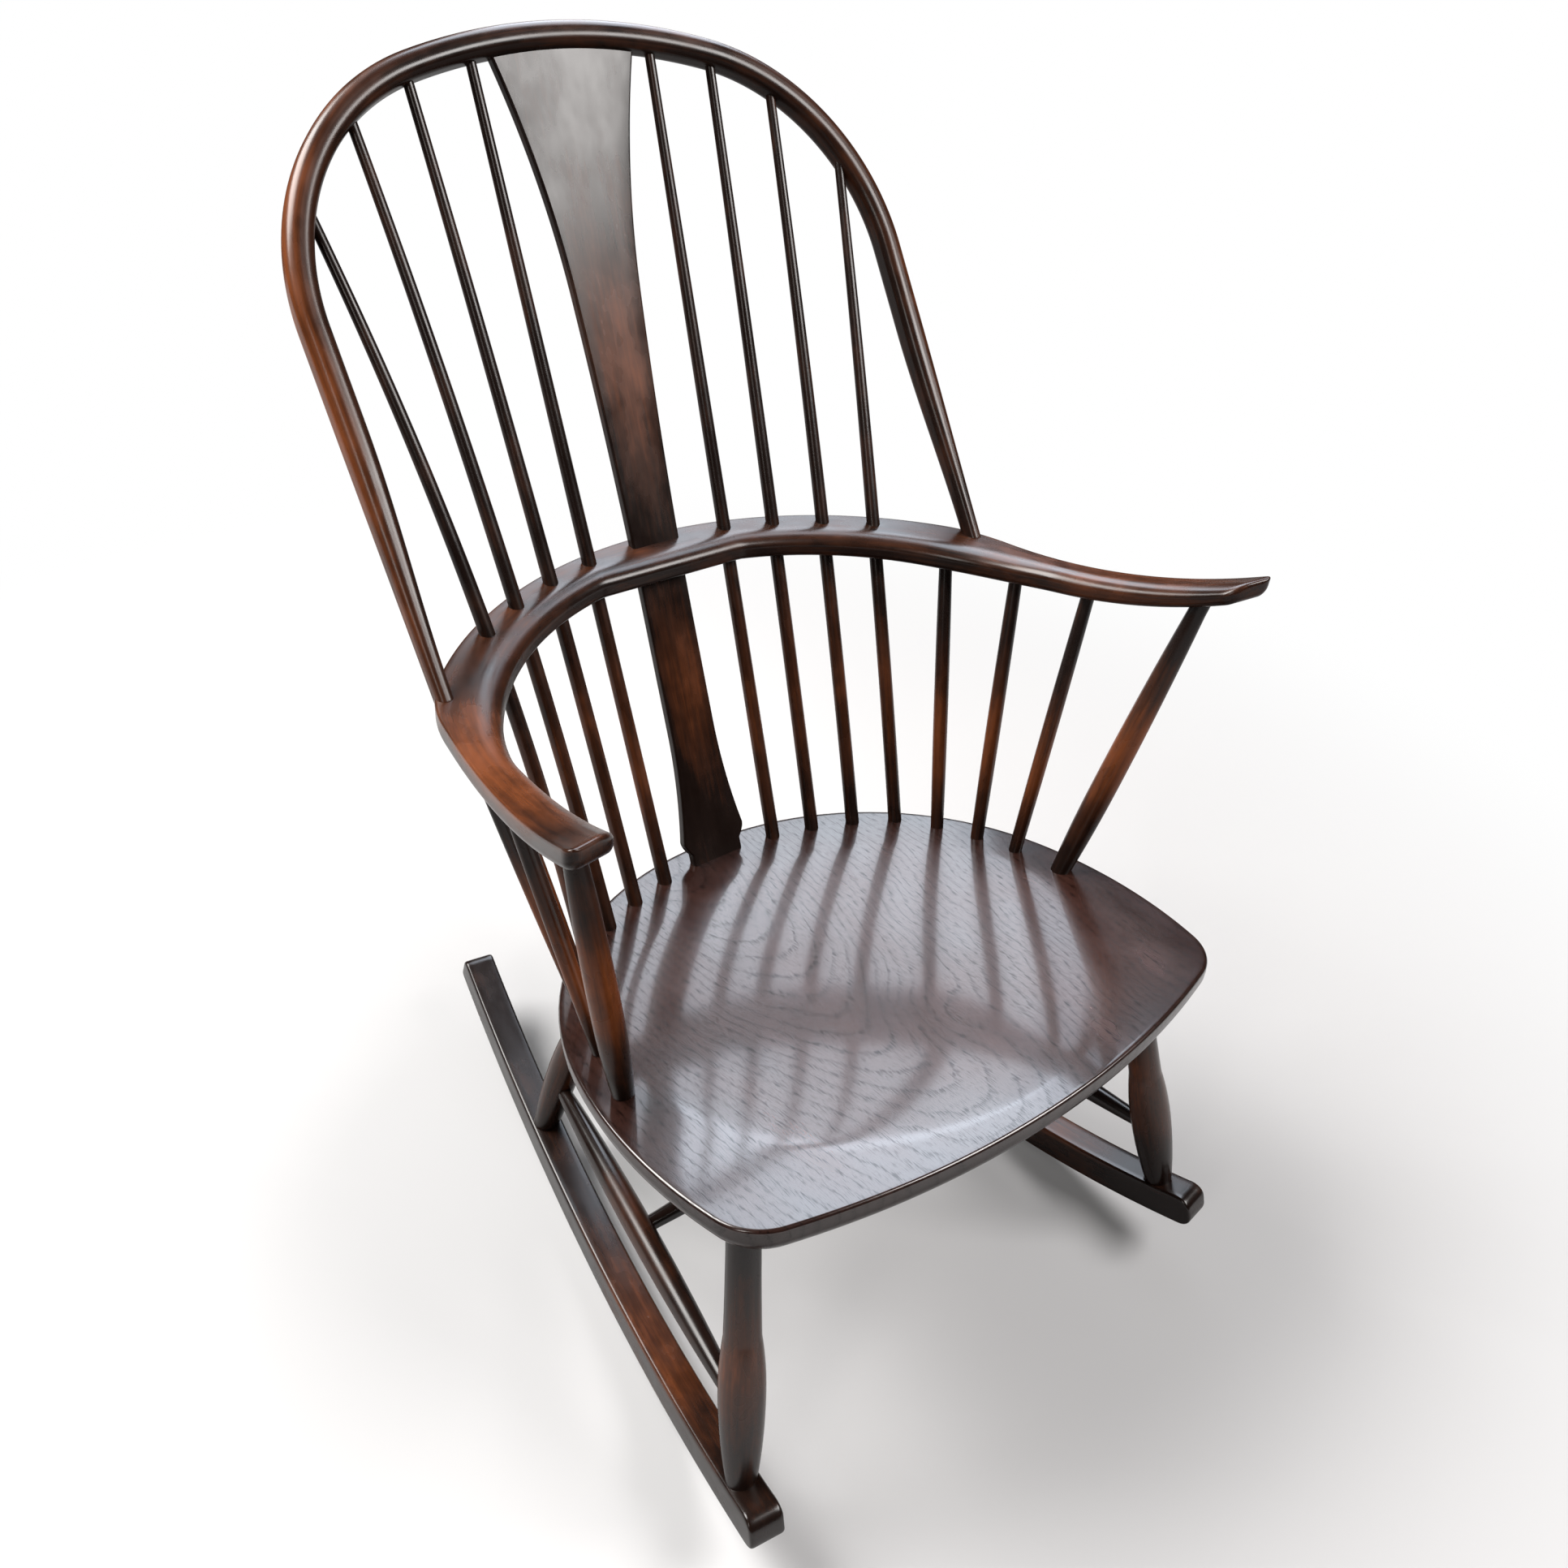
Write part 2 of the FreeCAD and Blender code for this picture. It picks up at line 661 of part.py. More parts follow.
def arm_bow_blank():
    """The bow's outline from above, within the curved band of its side view."""
    outer_back = float(drive.bow_rear_back) - float(drive.bow_rear_radius) + math.sqrt(
        float(drive.bow_rear_radius) ** 2 - float(drive.bow_shoulder_across) ** 2)
    shoulder_back = worked.add("bow_shoulder_back", outer_back)
    inner_back = bow_inner_centre() + math.sqrt(
        float(drive.bow_inner_radius) ** 2 - float(drive.bow_inner_shoulder_across) ** 2)
    inner_shoulder_back = worked.add("bow_inner_shoulder_back", inner_back)
    front_z = worked.add("bow_front_top", bow_top(drive.bow_front_back - drive.overrun))
    outline = new_body("arm_bow_outline")
    sketch = sketch_on(outline, "XY_Plane", "arm_bow_plan")
    tip = drive.bow_front_back
    inner_tip = drive.bow_front_back + drive.bow_front_slant
    draw(sketch, [
        corner(drive.bow_front_outer_across, tip),
        corner(drive.bow_shoulder_across, shoulder_back),
        corner(-drive.bow_shoulder_across, shoulder_back, drive.bow_rear_radius),
        corner(-drive.bow_front_outer_across, tip),
        corner(-drive.bow_front_inner_across, inner_tip),
        corner(-drive.bow_inner_shoulder_across, inner_shoulder_back),
        corner(-drive.bow_inner_flat / 2, drive.bow_inner_back, drive.bow_inner_radius, -1),
        corner(drive.bow_inner_flat / 2, drive.bow_inner_back),
        corner(drive.bow_inner_shoulder_across, inner_shoulder_back, drive.bow_inner_radius, -1),
        corner(drive.bow_front_inner_across, inner_tip),
    ])
    pad(outline, sketch, drive.bow_top_height + drive.bow_rise_radius)
    upright = Vector(0, 0, 1)

    def corner_near(places):
        spots = [point(x, y, 0) for x, y in places]
        return lambda edge: runs_along(edge, upright) and min(
            (Vector(abs(middle_of(edge).x), middle_of(edge).y, 0) - spot).Length
            for spot in spots) < float(drive.overrun)

    shoulders = ((drive.bow_shoulder_across, shoulder_back),
                 (drive.bow_inner_shoulder_across, inner_shoulder_back))
    round_edges(outline, corner_near(shoulders), drive.bow_shoulder_round, "bow_shoulders")
    round_edges(outline, corner_near([(drive.bow_front_outer_across, tip)]),
                drive.bow_tip_outer_round, "bow_outer_tips")
    round_edges(outline, corner_near([(drive.bow_front_inner_across, inner_tip)]),
                drive.bow_tip_inner_round, "bow_inner_tips")

    band = new_body("arm_bow_band")
    side_view = sketch_on(band, "YZ_Plane", "arm_bow_side_view")
    rear = drive.bow_rear_back + drive.overrun
    front = drive.bow_front_back - drive.overrun
    reach = drive.bow_rise_from_back - front
    under = drive.bow_under_rise_radius
    under_front = (drive.bow_top_height - drive.bow_thickness + under
                   - root(under * under - reach * reach))
    draw(side_view, [
        corner(rear, drive.bow_top_height),
        corner(drive.bow_rise_from_back, drive.bow_top_height),
        corner(front, front_z, drive.bow_rise_radius, -1),
        corner(front, under_front),
        corner(drive.bow_rise_from_back, drive.bow_top_height - drive.bow_thickness, under, 1),
        corner(rear, drive.bow_top_height - drive.bow_thickness),
    ])
    pad(band, side_view, (drive.bow_front_outer_across + drive.overrun) * 2, "Symmetric")

    bent = doc.addObject("Part::MultiCommon", "arm_bow_bent")
    bent.Shapes = [outline, band]
    doc.recompute()
    rounded = doc.addObject("Part::Fillet", "arm_bow_rounded")
    rounded.Base = bent
    picks = []
    for index, edge in enumerate(bent.Shape.Edges):
        spot = middle_of(edge)
        if abs(spot.z - bow_top(spot.y)) < SAME_PLACE:
            radius = float(drive.bow_top_round)
        elif abs(spot.z - bow_under(spot.y)) < SAME_PLACE:
            radius = float(drive.bow_under_round)
        else:
            continue
        picks.append((index + 1, radius, radius))
    rounded.Edges = picks
    return rounded


def hoop_blank():
    """A round rod along two legs, two bends and a crown, coped to stand on the arm bow."""
    crown_turn = hoop_crown_angle()
    slant = math.radians(float(drive.hoop_slant_angle))
    crown, bend = float(drive.hoop_crown_radius), float(drive.hoop_bend_radius)
    half = float(drive.hoop_width) / 2
    low_x = half - bend + bend * math.cos(slant)
    low_z = hoop_bend_height() - bend * math.sin(slant)
    foot_x = low_x - low_z * math.tan(slant)
    cope = float(drive.hoop_cope)
    bend_x = worked.add("hoop_bend_across", low_x)
    bend_z = worked.add("hoop_bend_rise", low_z)
    crown_x = worked.add("hoop_crown_across", crown * math.sin(crown_turn))
    crown_z = worked.add("hoop_crown_rise",
                         float(drive.hoop_rise) - crown + crown * math.cos(crown_turn))
    end_x = worked.add("hoop_end_across", foot_x - cope * math.sin(slant))
    end_z = worked.add("hoop_end_drop", cope * math.cos(slant))
    body = new_body("hoop_rod")
    path = sketch_on(body, "XZ_Plane", "hoop_path")
    stops = [
        corner(end_x, -end_z),
        corner(bend_x, bend_z),
        corner(crown_x, crown_z, drive.hoop_bend_radius),
        corner(-crown_x, crown_z, drive.hoop_crown_radius),
        corner(-bend_x, bend_z, drive.hoop_bend_radius),
        corner(-end_x, -end_z),
    ]
    draw(path, stops, closed=False)
    offset = Placement(point(end_x, 0, -end_z), Rotation(Vector(0, 1, 0), math.degrees(slant)))
    section = sketch_on(body, "XY_Plane", "hoop_section", offset)
    ring(section, drive.hoop_section)
    pipe = body.newObject("PartDesign::AdditivePipe", "hoop_pipe")
    pipe.Profile = section
    pipe.Spine = (path, [f"Edge{index}" for index in range(1, len(stops))])
    body.Placement = hoop_frame()
    foot = hoop_frame().multVec(Vector(foot_x, 0, 0))
    way = hoop_frame().Rotation.multVec(Vector(math.sin(slant), 0, math.cos(slant)))
    return body, foot, way


# The spindles

def bend_of(foot, through, top):
    """The arc through three places: its chord, its bulge side and its radius."""
    up = heading(top - foot)
    aside = through - foot - up * (through - foot).dot(up)
    rise, bulge = (through - foot).dot(up), aside.Length
    chord = (top - foot).Length
    centre = (bulge ** 2 + rise ** 2 - rise * chord) / (2 * bulge)
    radius = math.sqrt(centre ** 2 + chord ** 2 / 4)
    return heading(aside), rise, chord, centre, radius


def bent_spindle(label, foot, through, top):
    """A tapered spindle sprung from the seat through the arm bow to the hoop.

    It is straight where it sits in a socket, and these three stretches are given back.
    """
    facing, bow_rise, chord, centre, radius = bend_of(foot, through, top)
    body = new_body(label)
    grip = float(drive.bow_thickness)
    seat_grip = (-float(drive.seat_socket_depth), 0.0)
    bow_grip = (bow_rise - grip, bow_rise + grip)
    hoop_grip = (chord - float(drive.hoop_section), chord)
    upper = chord * SPINDLE_UPPER_SHARE
    foot_width, bow_width = drive.spindle_foot_width, drive.spindle_bow_width
    upper_width, top_width = drive.spindle_upper_width, drive.spindle_top_width
    stretches = (
        (seat_grip, (foot_width, foot_width), 1),
        ((seat_grip[1], bow_grip[0]), (foot_width, bow_width), SPINDLE_UNDER_BOW_STEPS),
        (bow_grip, (bow_width, bow_width), 1),
        ((bow_grip[1], upper), (bow_width, upper_width), SPINDLE_OVER_BOW_STEPS),
        ((upper, hoop_grip[0]), (upper_width, top_width), SPINDLE_UPPER_STEPS),
        (hoop_grip, (top_width, top_width), 1),
    )
    stations = []
    for (low, high), (wide, narrow), steps in stretches:
        for step in range(steps):
            share = step / steps
            stations.append((low + (high - low) * share, wide + (narrow - wide) * share))
    stations.append((chord, top_width))

    def on_arc(height):
        lean = math.asin((chord / 2 - height) / radius)
        return Vector(centre + radius * math.cos(lean), 0, height), math.degrees(lean)

    rings = []
    for number, (height, width) in enumerate(stations):
        spot, lean = on_arc(height)
        section = sketch_on(body, "XY_Plane", f"{label}_ring_{number}",
                            Placement(spot, Rotation(Vector(0, 1, 0), lean)))
        ring(section, width)
        rings.append(section)
    loft = body.newObject("PartDesign::AdditiveLoft", label + "_loft")
    loft.Profile = rings[0]
    loft.Sections = rings[1:]
    loft.Ruled = True
    stand(body, foot, top, facing)
    place = body.Placement
    grips = [tuple(place.multVec(on_arc(height)[0]) for height in reach)
             for reach in (seat_grip, bow_grip, hoop_grip)]
    return body, grips


# The splat

def splat_blank(label, growth):
    """The splat's front outline within its bent side view; growth makes the tool for its slots."""
    foot = seat_socket(0, 1)
    through, top = bow_hole(0, 1), hoop_point(0)
    facing, bow_rise, chord, centre, radius = bend_of(foot, through, top)
    low_drop = float(drive.splat_tenon)

    def sway(height):
        return centre + math.sqrt(radius ** 2 - (height - chord / 2) ** 2)

    name = label + "_"
    bend = worked.add(name + "bend_radius", radius)
    rise = worked.add(name + "rise", chord)
    low = worked.add(name + "low_sway", sway(-low_drop - float(growth)))
    high = worked.add(name + "high_sway", sway(chord + float(growth)))
    flare_step = float(drive.splat_flare_width - drive.splat_waist_width) / 2
    flare_run = float(drive.splat_flare_rise - drive.splat_waist_rise)
    long_radius = (flare_run ** 2 + flare_step ** 2) / (2 * flare_step)
    lean = math.asin(flare_run / long_radius)
    out = float(drive.splat_top_width - drive.splat_flare_width) / 2
    up = chord - float(drive.splat_flare_rise)
    short_radius = (out ** 2 + up ** 2) / (2 * (out * math.cos(lean) - up * math.sin(lean)))
    long_bend = worked.add(name + "long_flare", long_radius)
    short_bend = worked.add(name + "short_flare", short_radius)
    skirt_step = (drive.splat_skirt_width - drive.splat_waist_width) / 2
    skirt_run = drive.splat_skirt_top - drive.splat_skirt_rise
    skirt_bend = (skirt_run * skirt_run + skirt_step * skirt_step) / (skirt_step * 2)

    front = new_body(label + "_front")
    outline = sketch_on(front, "XZ_Plane", label + "_outline")
    end = rise + growth
    right = [
        corner(drive.splat_foot_width / 2 + growth, -drive.splat_tenon - growth),
        corner(drive.splat_foot_width / 2 + growth, drive.splat_step),
        corner(drive.splat_skirt_width / 2 + growth, drive.splat_skirt_rise),
        corner(drive.splat_waist_width / 2 + growth, drive.splat_skirt_top, skirt_bend, -1),
        corner(drive.splat_waist_width / 2 + growth, drive.splat_waist_rise),
        corner(drive.splat_flare_width / 2 + growth, drive.splat_flare_rise, long_bend, -1),
        corner(drive.splat_top_width / 2 + growth, end, short_bend, -1),
    ]
    left = []
    following = [None] + right[:0:-1]
    for here, after in zip(right[::-1], following):
        bend_in, side_in = (None, 1) if after is None else (after[2], after[3])
        left.append(corner(-here[0], here[1], bend_in, side_in))
    draw(outline, right + left)
    pad(front, outline, drive.seat_depth, "Symmetric")
    side = new_body(label + "_side")
    view = sketch_on(side, "YZ_Plane", label + "_side_view")
    half = drive.splat_thickness / 2 + growth
    draw(view, [
        corner(low - half, -drive.splat_tenon - growth, bend, -1),
        corner(low + half, -drive.splat_tenon - growth),
        corner(high + half, end, bend, 1),
        corner(high - half, end),
    ])
    pad(side, view, drive.splat_top_width * 2, "Symmetric")
    blank = doc.addObject("Part::MultiCommon", label)
    blank.Shapes = [front, side]
    for piece in (front, side):
        stand(piece, foot, top)
    return blank


# Legs, stretchers and rockers

def rocker_blank(name, side):
    """A sawn runner: two arcs about one centre, a round nose and a squarer heel."""
    radius, height = drive.rocker_radius, drive.rocker_height
    inner = radius - height
    front, back = drive.rocker_front_reach, drive.rocker_back_reach
    front_drop = root(radius * radius - front * front)
    back_drop = root(radius * radius - back * back)
    share = inner / radius
    body = new_body(f"rocker_{name}_blank")
    sketch = sketch_on(body, "YZ_Plane", f"rocker_{name}_outline")
    draw(sketch, [
        corner(-front, radius - front_drop),
        corner(back, radius - back_drop, radius),
        corner(back * share, radius - back_drop * share),
        corner(-front * share, radius - front_drop * share, inner, -1),
    ])
    pad(body, sketch, drive.rocker_width, "Symmetric")
    across = Vector(1, 0, 0)
    round_edges(body, lambda edge: runs_along(edge, across) and middle_of(edge).y < 0,
                drive.rocker_nose_round, f"rocker_{name}_nose")
    round_edges(body, lambda edge: runs_along(edge, across) and middle_of(edge).y > 0,
                drive.rocker_heel_round, f"rocker_{name}_heel")
    half = float(drive.rocker_width) / 2
    round_edges(body, lambda edge: all(abs(abs(v.X) - half) < SAME_PLACE for v in edge.Vertexes)
                and not runs_along(edge, across), drive.rocker_edge_round, f"rocker_{name}_edges")
    rest = rocker_point(drive.rocker_rest_back, side, 0)
    turn = Rotation(Vector(0, 0, 1), float(drive.rocker_toe_angle) * side)
    body.Placement = Placement(rest, turn)
    return body


def leg_line(top_across, top_back, foot_back, side):
    """A leg's line from its foot on the rocker to the underside of the seat."""
    foot = rocker_point(foot_back, side, drive.rocker_height)
    top = seat_under_point(float(top_across) * side, top_back)
    return foot, top


def leg_parts(label, foot, top, widths, runner):
    """A turned leg, coped to the rocker below and tenoned into it, that runs into the seat."""
    foot_width, belly_width, top_width = widths
    span = worked.add(label + "_span", (top - foot).Length)
    way = heading(top - foot)
    belly = drive.leg_cope + span * LEG_BELLY_SHARE
    waist = drive.leg_cope + span * LEG_WAIST_SHARE
    over = drive.leg_cope + span
    waist_width = top_width + (belly_width - top_width) * LEG_WAIST_SWELL_SHARE
    stations = (
        (foot_width, ZERO, None),
        (foot_width, drive.leg_cope, None),
        (belly_width, belly, "swell"),
        (waist_width, waist, "spring"),
        (top_width, over, "swell"),
        (top_width, over + drive.leg_socket_depth, None),
    )
    start = foot - way * float(drive.leg_cope)
    blank = turned(label + "_turned", start, top, stations)
    stood = cut(label + "_coped", blank, [runner])
    tip = foot - way * float(drive.leg_tenon_length)
    tenon = dowel(label + "_tenon", tip, way, drive.leg_tenon_width,
                  drive.leg_tenon_length + drive.leg_belly_room)
    socket = drill(label + "_foot_socket", tip, way, drive.leg_tenon_width,
                   drive.leg_tenon_length + drive.overrun)
    seat_tip = top + way * float(drive.leg_socket_depth)
    top_socket = drill(label + "_top_socket", seat_tip, -way, top_width,
                       drive.leg_socket_depth + drive.overrun * 2)
    return fuse(label + "_whole", [stood, tenon]), socket, top_socket


def stretcher(label, start, end, width, depth_start, depth_end):
    """A cigar-shaped stretcher between two centre lines, sunk into what it joins."""
    way = heading(end - start)
    begin, finish = start + way * depth_start, end - way * depth_end
    span = worked.add(label + "_span", (finish - begin).Length)
    end_width = drive.stretcher_end_width
    straight = drive.stretcher_socket_depth
    stations = (
        (end_width, ZERO, None),
        (end_width, straight, None),
        (width, span / 2, "swell"),
        (end_width, span - straight, "spring"),
        (end_width, span, None),
    )
    upright = Vector(0, 0, 1)
    body = turned(label, begin, finish, stations, upright)
    sockets = [drill(f"{label}_socket_{number}", tip, outward, end_width,
                     straight + drive.overrun * 2, upright)
               for number, (tip, outward) in enumerate(((begin, way), (finish, -way)))]
    return body, sockets


def under_arm(label, foot, aim, widths, rise_shares):
    """A short spindle or post from the seat up into the underside of the arm."""
    foot_width, belly_width, top_width = widths
    way = heading(aim - foot)
    sunk = drive.bow_socket_depth - drive.bow_thickness / 2
    tip = aim + way * float(sunk)
    start = foot - way * float(drive.seat_socket_depth)
    span = worked.add(label + "_span", (tip - foot).Length)
    seat_run = drive.seat_socket_depth
    free = span - drive.bow_socket_depth - drive.overrun
    stations = (
        (foot_width, ZERO, None),
        (foot_width, seat_run, None),
        (belly_width, seat_run + free * rise_shares, "swell"),
        (top_width, seat_run + free, "spring"),
        (top_width, seat_run + span, None),
    )
    body = turned(label, start, tip, stations)
    low = drill(label + "_seat_socket", start, way, foot_width,
                drive.seat_socket_depth + drive.overrun)
    high = drill(label + "_arm_socket", tip, -way, top_width,
                 drive.bow_socket_depth + drive.overrun * 2)
    return body, low, high


# The whole chair, piece by piece

seat_tools = [seat_dish()]
bow_tools = []
hoop_tools = []

runners = {name: rocker_blank(name, side) for name, side in SIDES}
board = seat_blank()
bow = arm_bow_blank()
rod, hoop_foot, hoop_way = hoop_blank()

splat = splat_blank("splat", ZERO)
slot = splat_blank("splat_slot", drive.fit_clearance)
keep("splat", splat)
for tools in (seat_tools, bow_tools, hoop_tools):
    tools.append(slot)

for name, side in SIDES:
    for number in range(4):
        foot = seat_socket(float(drive.socket_first_angle)
                           + number * float(drive.socket_step_angle), side)
        through = bow_hole(float(drive.bow_hole_first_angle)
                           + number * float(drive.bow_hole_step_angle), side)
        across = HOOP_SOCKET_ACROSS_SHARES[number] * float(drive.hoop_width) / 2
        top = hoop_point(across)
        if side < 0:
            top = Vector(-top.x, top.y, top.z)
        label = f"back_spindle_{name}_{number + 1}"
        body, (seat_grip, bow_grip, hoop_grip) = bent_spindle(label, foot, through, top)
        keep(label, body)
        seat_tools.append(drill(label + "_seat_socket", seat_grip[0], seat_grip[1] - seat_grip[0],
                                drive.spindle_foot_width, drive.seat_socket_depth + drive.overrun))
        bow_tools.append(drill(label + "_bow_hole", bow_grip[0], bow_grip[1] - bow_grip[0],
                               drive.spindle_bow_width, drive.bow_thickness * 2))
        hoop_tools.append(drill(label + "_hoop_socket", hoop_grip[1], hoop_grip[0] - hoop_grip[1],
                                drive.spindle_top_width, drive.hoop_section))
    for number in range(3):
        foot = seat_socket(float(drive.socket_first_angle)
                           + (number + 4) * float(drive.socket_step_angle), side)
        radius = float(drive.bow_shoulder_across)
        aim = bow_point(ARM_SOCKET_ACROSS_SHARES[number] * radius * side,
                        ARM_SOCKET_BACK_SHARES[number] * float(drive.bow_rear_back))
        widths = (drive.short_spindle_end_width, drive.short_spindle_width,
                  drive.short_spindle_end_width)
        label = f"arm_spindle_{name}_{number + 1}"
        body, low, high = under_arm(label, foot, aim, widths, ARM_SPINDLE_BELLY_SHARE)
        keep(label, body)
        seat_tools.append(low)
        bow_tools.append(high)
    foot = seat_socket(float(drive.post_socket_angle), side)
    aim = bow_point(POST_TOP_ACROSS_SHARE * float(drive.bow_shoulder_across) * side,
                    POST_TOP_BACK_SHARE * float(drive.bow_rear_back))
    widths = (drive.post_foot_width, drive.post_belly_width, drive.post_top_width)
    label = f"arm_post_{name}"
    body, low, high = under_arm(label, foot, aim, widths, POST_BELLY_SHARE)
    keep(label, body)
    seat_tools.append(low)
    bow_tools.append(high)

hoop_feet = []
for name, side in SIDES:
    foot = Vector(hoop_foot.x * side, hoop_foot.y, hoop_foot.z)
    way = Vector(hoop_way.x * side, hoop_way.y, hoop_way.z)
    tip = foot - way * float(drive.hoop_tenon_length)
    hoop_feet.append(dowel(f"hoop_tenon_{name}", tip, way, drive.hoop_tenon_width,
                           drive.hoop_tenon_length + drive.hoop_section))
    bow_tools.append(drill(f"hoop_tenon_{name}_socket", tip, way, drive.hoop_tenon_width,
                           drive.hoop_tenon_length + drive.hoop_section / 2))

middles = {}
for name, side in SIDES:
    runner = runners[name]
    front_foot, front_top = leg_line(drive.front_leg_top_across, drive.front_leg_top_back,
                                     drive.front_foot_back, side)
    rear_foot, rear_top = leg_line(drive.rear_leg_top_across, drive.rear_leg_top_back,
                                   drive.rear_foot_back, side)
    front_leg, front_socket, front_top_socket = leg_parts(
        f"front_leg_{name}", front_foot, front_top,
        (drive.front_leg_foot_width, drive.front_leg_belly_width, drive.front_leg_top_width), runner)
    rear_leg, rear_socket, rear_top_socket = leg_parts(
        f"rear_leg_{name}", rear_foot, rear_top,
        (drive.rear_leg_foot_width, drive.rear_leg_belly_width, drive.rear_leg_top_width), runner)
    seat_tools += [front_top_socket, rear_top_socket]
    keep(f"rocker_{name}", cut(f"rocker_{name}", runner, [front_socket, rear_socket]))
    start = front_foot + (front_top - front_foot) * STRETCHER_JOINT_SHARE
    end = rear_foot + (rear_top - rear_foot) * STRETCHER_JOINT_SHARE
    depth = float(drive.stretcher_socket_depth)
    rail, rail_sockets = stretcher(
        f"side_stretcher_{name}_turned", start, end, drive.side_stretcher_width,
        float(drive.front_leg_belly_width) / 2 - depth, float(drive.rear_leg_belly_width) / 2 - depth)
    keep(f"front_leg_{name}", cut(f"front_leg_{name}", front_leg, [rail_sockets[0]]))
    keep(f"rear_leg_{name}", cut(f"rear_leg_{name}", rear_leg, [rail_sockets[1]]))
    middles[name] = ((start + end) * 0.5, rail)

cross_inset = float(drive.side_stretcher_width) / 2 - float(drive.cross_socket_depth)
cross, cross_sockets = stretcher("cross_stretcher", middles["left"][0], middles["right"][0],
                                 drive.cross_stretcher_width, cross_inset, cross_inset)
keep("cross_stretcher", cross)
for (name, side), socket in zip(SIDES, cross_sockets):
    keep(f"side_stretcher_{name}", cut(f"side_stretcher_{name}", middles[name][1], [socket]))

keep("seat", cut("seat", board, seat_tools))
keep("arm_bow", cut("arm_bow", bow, bow_tools))
bare_hoop = fuse("hoop_with_tenons", [cut("hoop_coped", rod, [bow])] + hoop_feet)
keep("hoop", cut("hoop", bare_hoop, hoop_tools))

doc.recompute()
for item in doc.Objects:
    if "Invalid" in item.State or "Error" in item.State:
        raise RuntimeError(f"{item.Label} failed: {item.State}")
for label, thing in nodes.items():
    if thing.Shape.isNull() or not thing.Shape.isValid() or len(thing.Shape.Solids) != 1:
        raise RuntimeError(f"{label} is not one sound solid")


def rest_placement():
    """Roll the chair until its weight hangs under the rockers' centre, and centre its box."""
    weight = sum(thing.Shape.Volume for thing in nodes.values())
    moment = Vector(0, 0, 0)
    for thing in nodes.values():
        moment += thing.Shape.Solids[0].CenterOfMass * thing.Shape.Volume
    balance = moment * (1 / weight)
    hub = point(0, drive.rocker_rest_back, drive.rocker_radius)
    roll = math.atan2(balance.y - hub.y, hub.z - balance.z)
    turn = Placement(Vector(0, 0, 0), Rotation(Vector(1, 0, 0), -math.degrees(roll)), hub)
    rear = nodes["hoop"].Shape.copy()
    front = nodes["rocker_left"].Shape.copy()
    for shape in (rear, front):
        shape.Placement = turn.multiply(shape.Placement)
    middle = (rear.optimalBoundingBox().YMax + front.optimalBoundingBox().YMin) / 2
    print(f"rolled back {math.degrees(roll):.2f} degrees and moved {-middle:.2f} mm")
    return Placement(Vector(0, -middle, 0), Rotation()).multiply(turn)


resting = rest_placement()
for thing in nodes.values():
    thing.Placement = resting.multiply(thing.Placement)

os.makedirs("parts", exist_ok=True)
for label, thing in nodes.items():
    if not thing.Shape.isValid():
        raise RuntimeError(f"{label} is not sound where it rests")
    thing.Shape.exportStep(f"parts/{label}.step")
print(len(nodes), "pieces written")
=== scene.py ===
"""A hoop back rocking chair of stained elm and beech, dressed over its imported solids."""
import math

import bpy
import numpy as np
from mathutils import Matrix


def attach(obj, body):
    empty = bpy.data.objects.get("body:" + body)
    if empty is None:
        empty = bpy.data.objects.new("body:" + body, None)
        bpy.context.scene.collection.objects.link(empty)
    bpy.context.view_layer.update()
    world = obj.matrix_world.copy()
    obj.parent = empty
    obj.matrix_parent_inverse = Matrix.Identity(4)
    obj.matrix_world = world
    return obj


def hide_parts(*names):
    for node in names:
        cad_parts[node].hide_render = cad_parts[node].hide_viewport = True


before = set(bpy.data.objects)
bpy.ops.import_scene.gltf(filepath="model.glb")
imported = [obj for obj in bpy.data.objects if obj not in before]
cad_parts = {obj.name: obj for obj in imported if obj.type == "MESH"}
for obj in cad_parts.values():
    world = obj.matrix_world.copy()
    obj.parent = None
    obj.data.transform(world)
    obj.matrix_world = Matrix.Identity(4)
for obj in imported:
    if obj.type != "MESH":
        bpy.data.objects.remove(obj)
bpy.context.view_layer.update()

bl_info = {
    "name": "Hoop back rocker",
    "version": (1, 0, 0),
    "blender": (4, 5, 0),
    "location": "3D View > Sidebar > Rocker",
    "description": "Builds a hoop back rocking chair over its packed solids",
    "category": "Add Mesh",
}

MM = 0.001
SIDES = (("left", -1), ("right", 1))

# Seat: the radii of the touching arcs of its outline, the rounding of its two edges, and the
# middle and half axes of its dish
SEAT_FRONT, SEAT_CORNER, SEAT_SIDE, SEAT_SHOULDER, SEAT_REAR = 0.773, 0.052, 0.4, 0.26, 0.33
SEAT_RIM, SEAT_UNDERCUT = 0.0032, 0.026
DISH_PLACE, DISH_ACROSS, DISH_ALONG = 0.205, 0.225, 0.185
# Spindle feet: how far inside the seat's edge, where they fan out from, how deep they stand,
# and their angles round the fan in degrees. The bow's holes fan out in the same way
SOCKET_INSET, SOCKET_FAN, SOCKET_DEPTH = 0.026, 0.186, 0.0145
FIRST_FOOT, NEXT_FOOT, POST_FOOT = 14.8, 9.5, 83.7
HOLE_INSET, FIRST_HOLE, NEXT_HOLE = 0.019, 13.8, 9.1

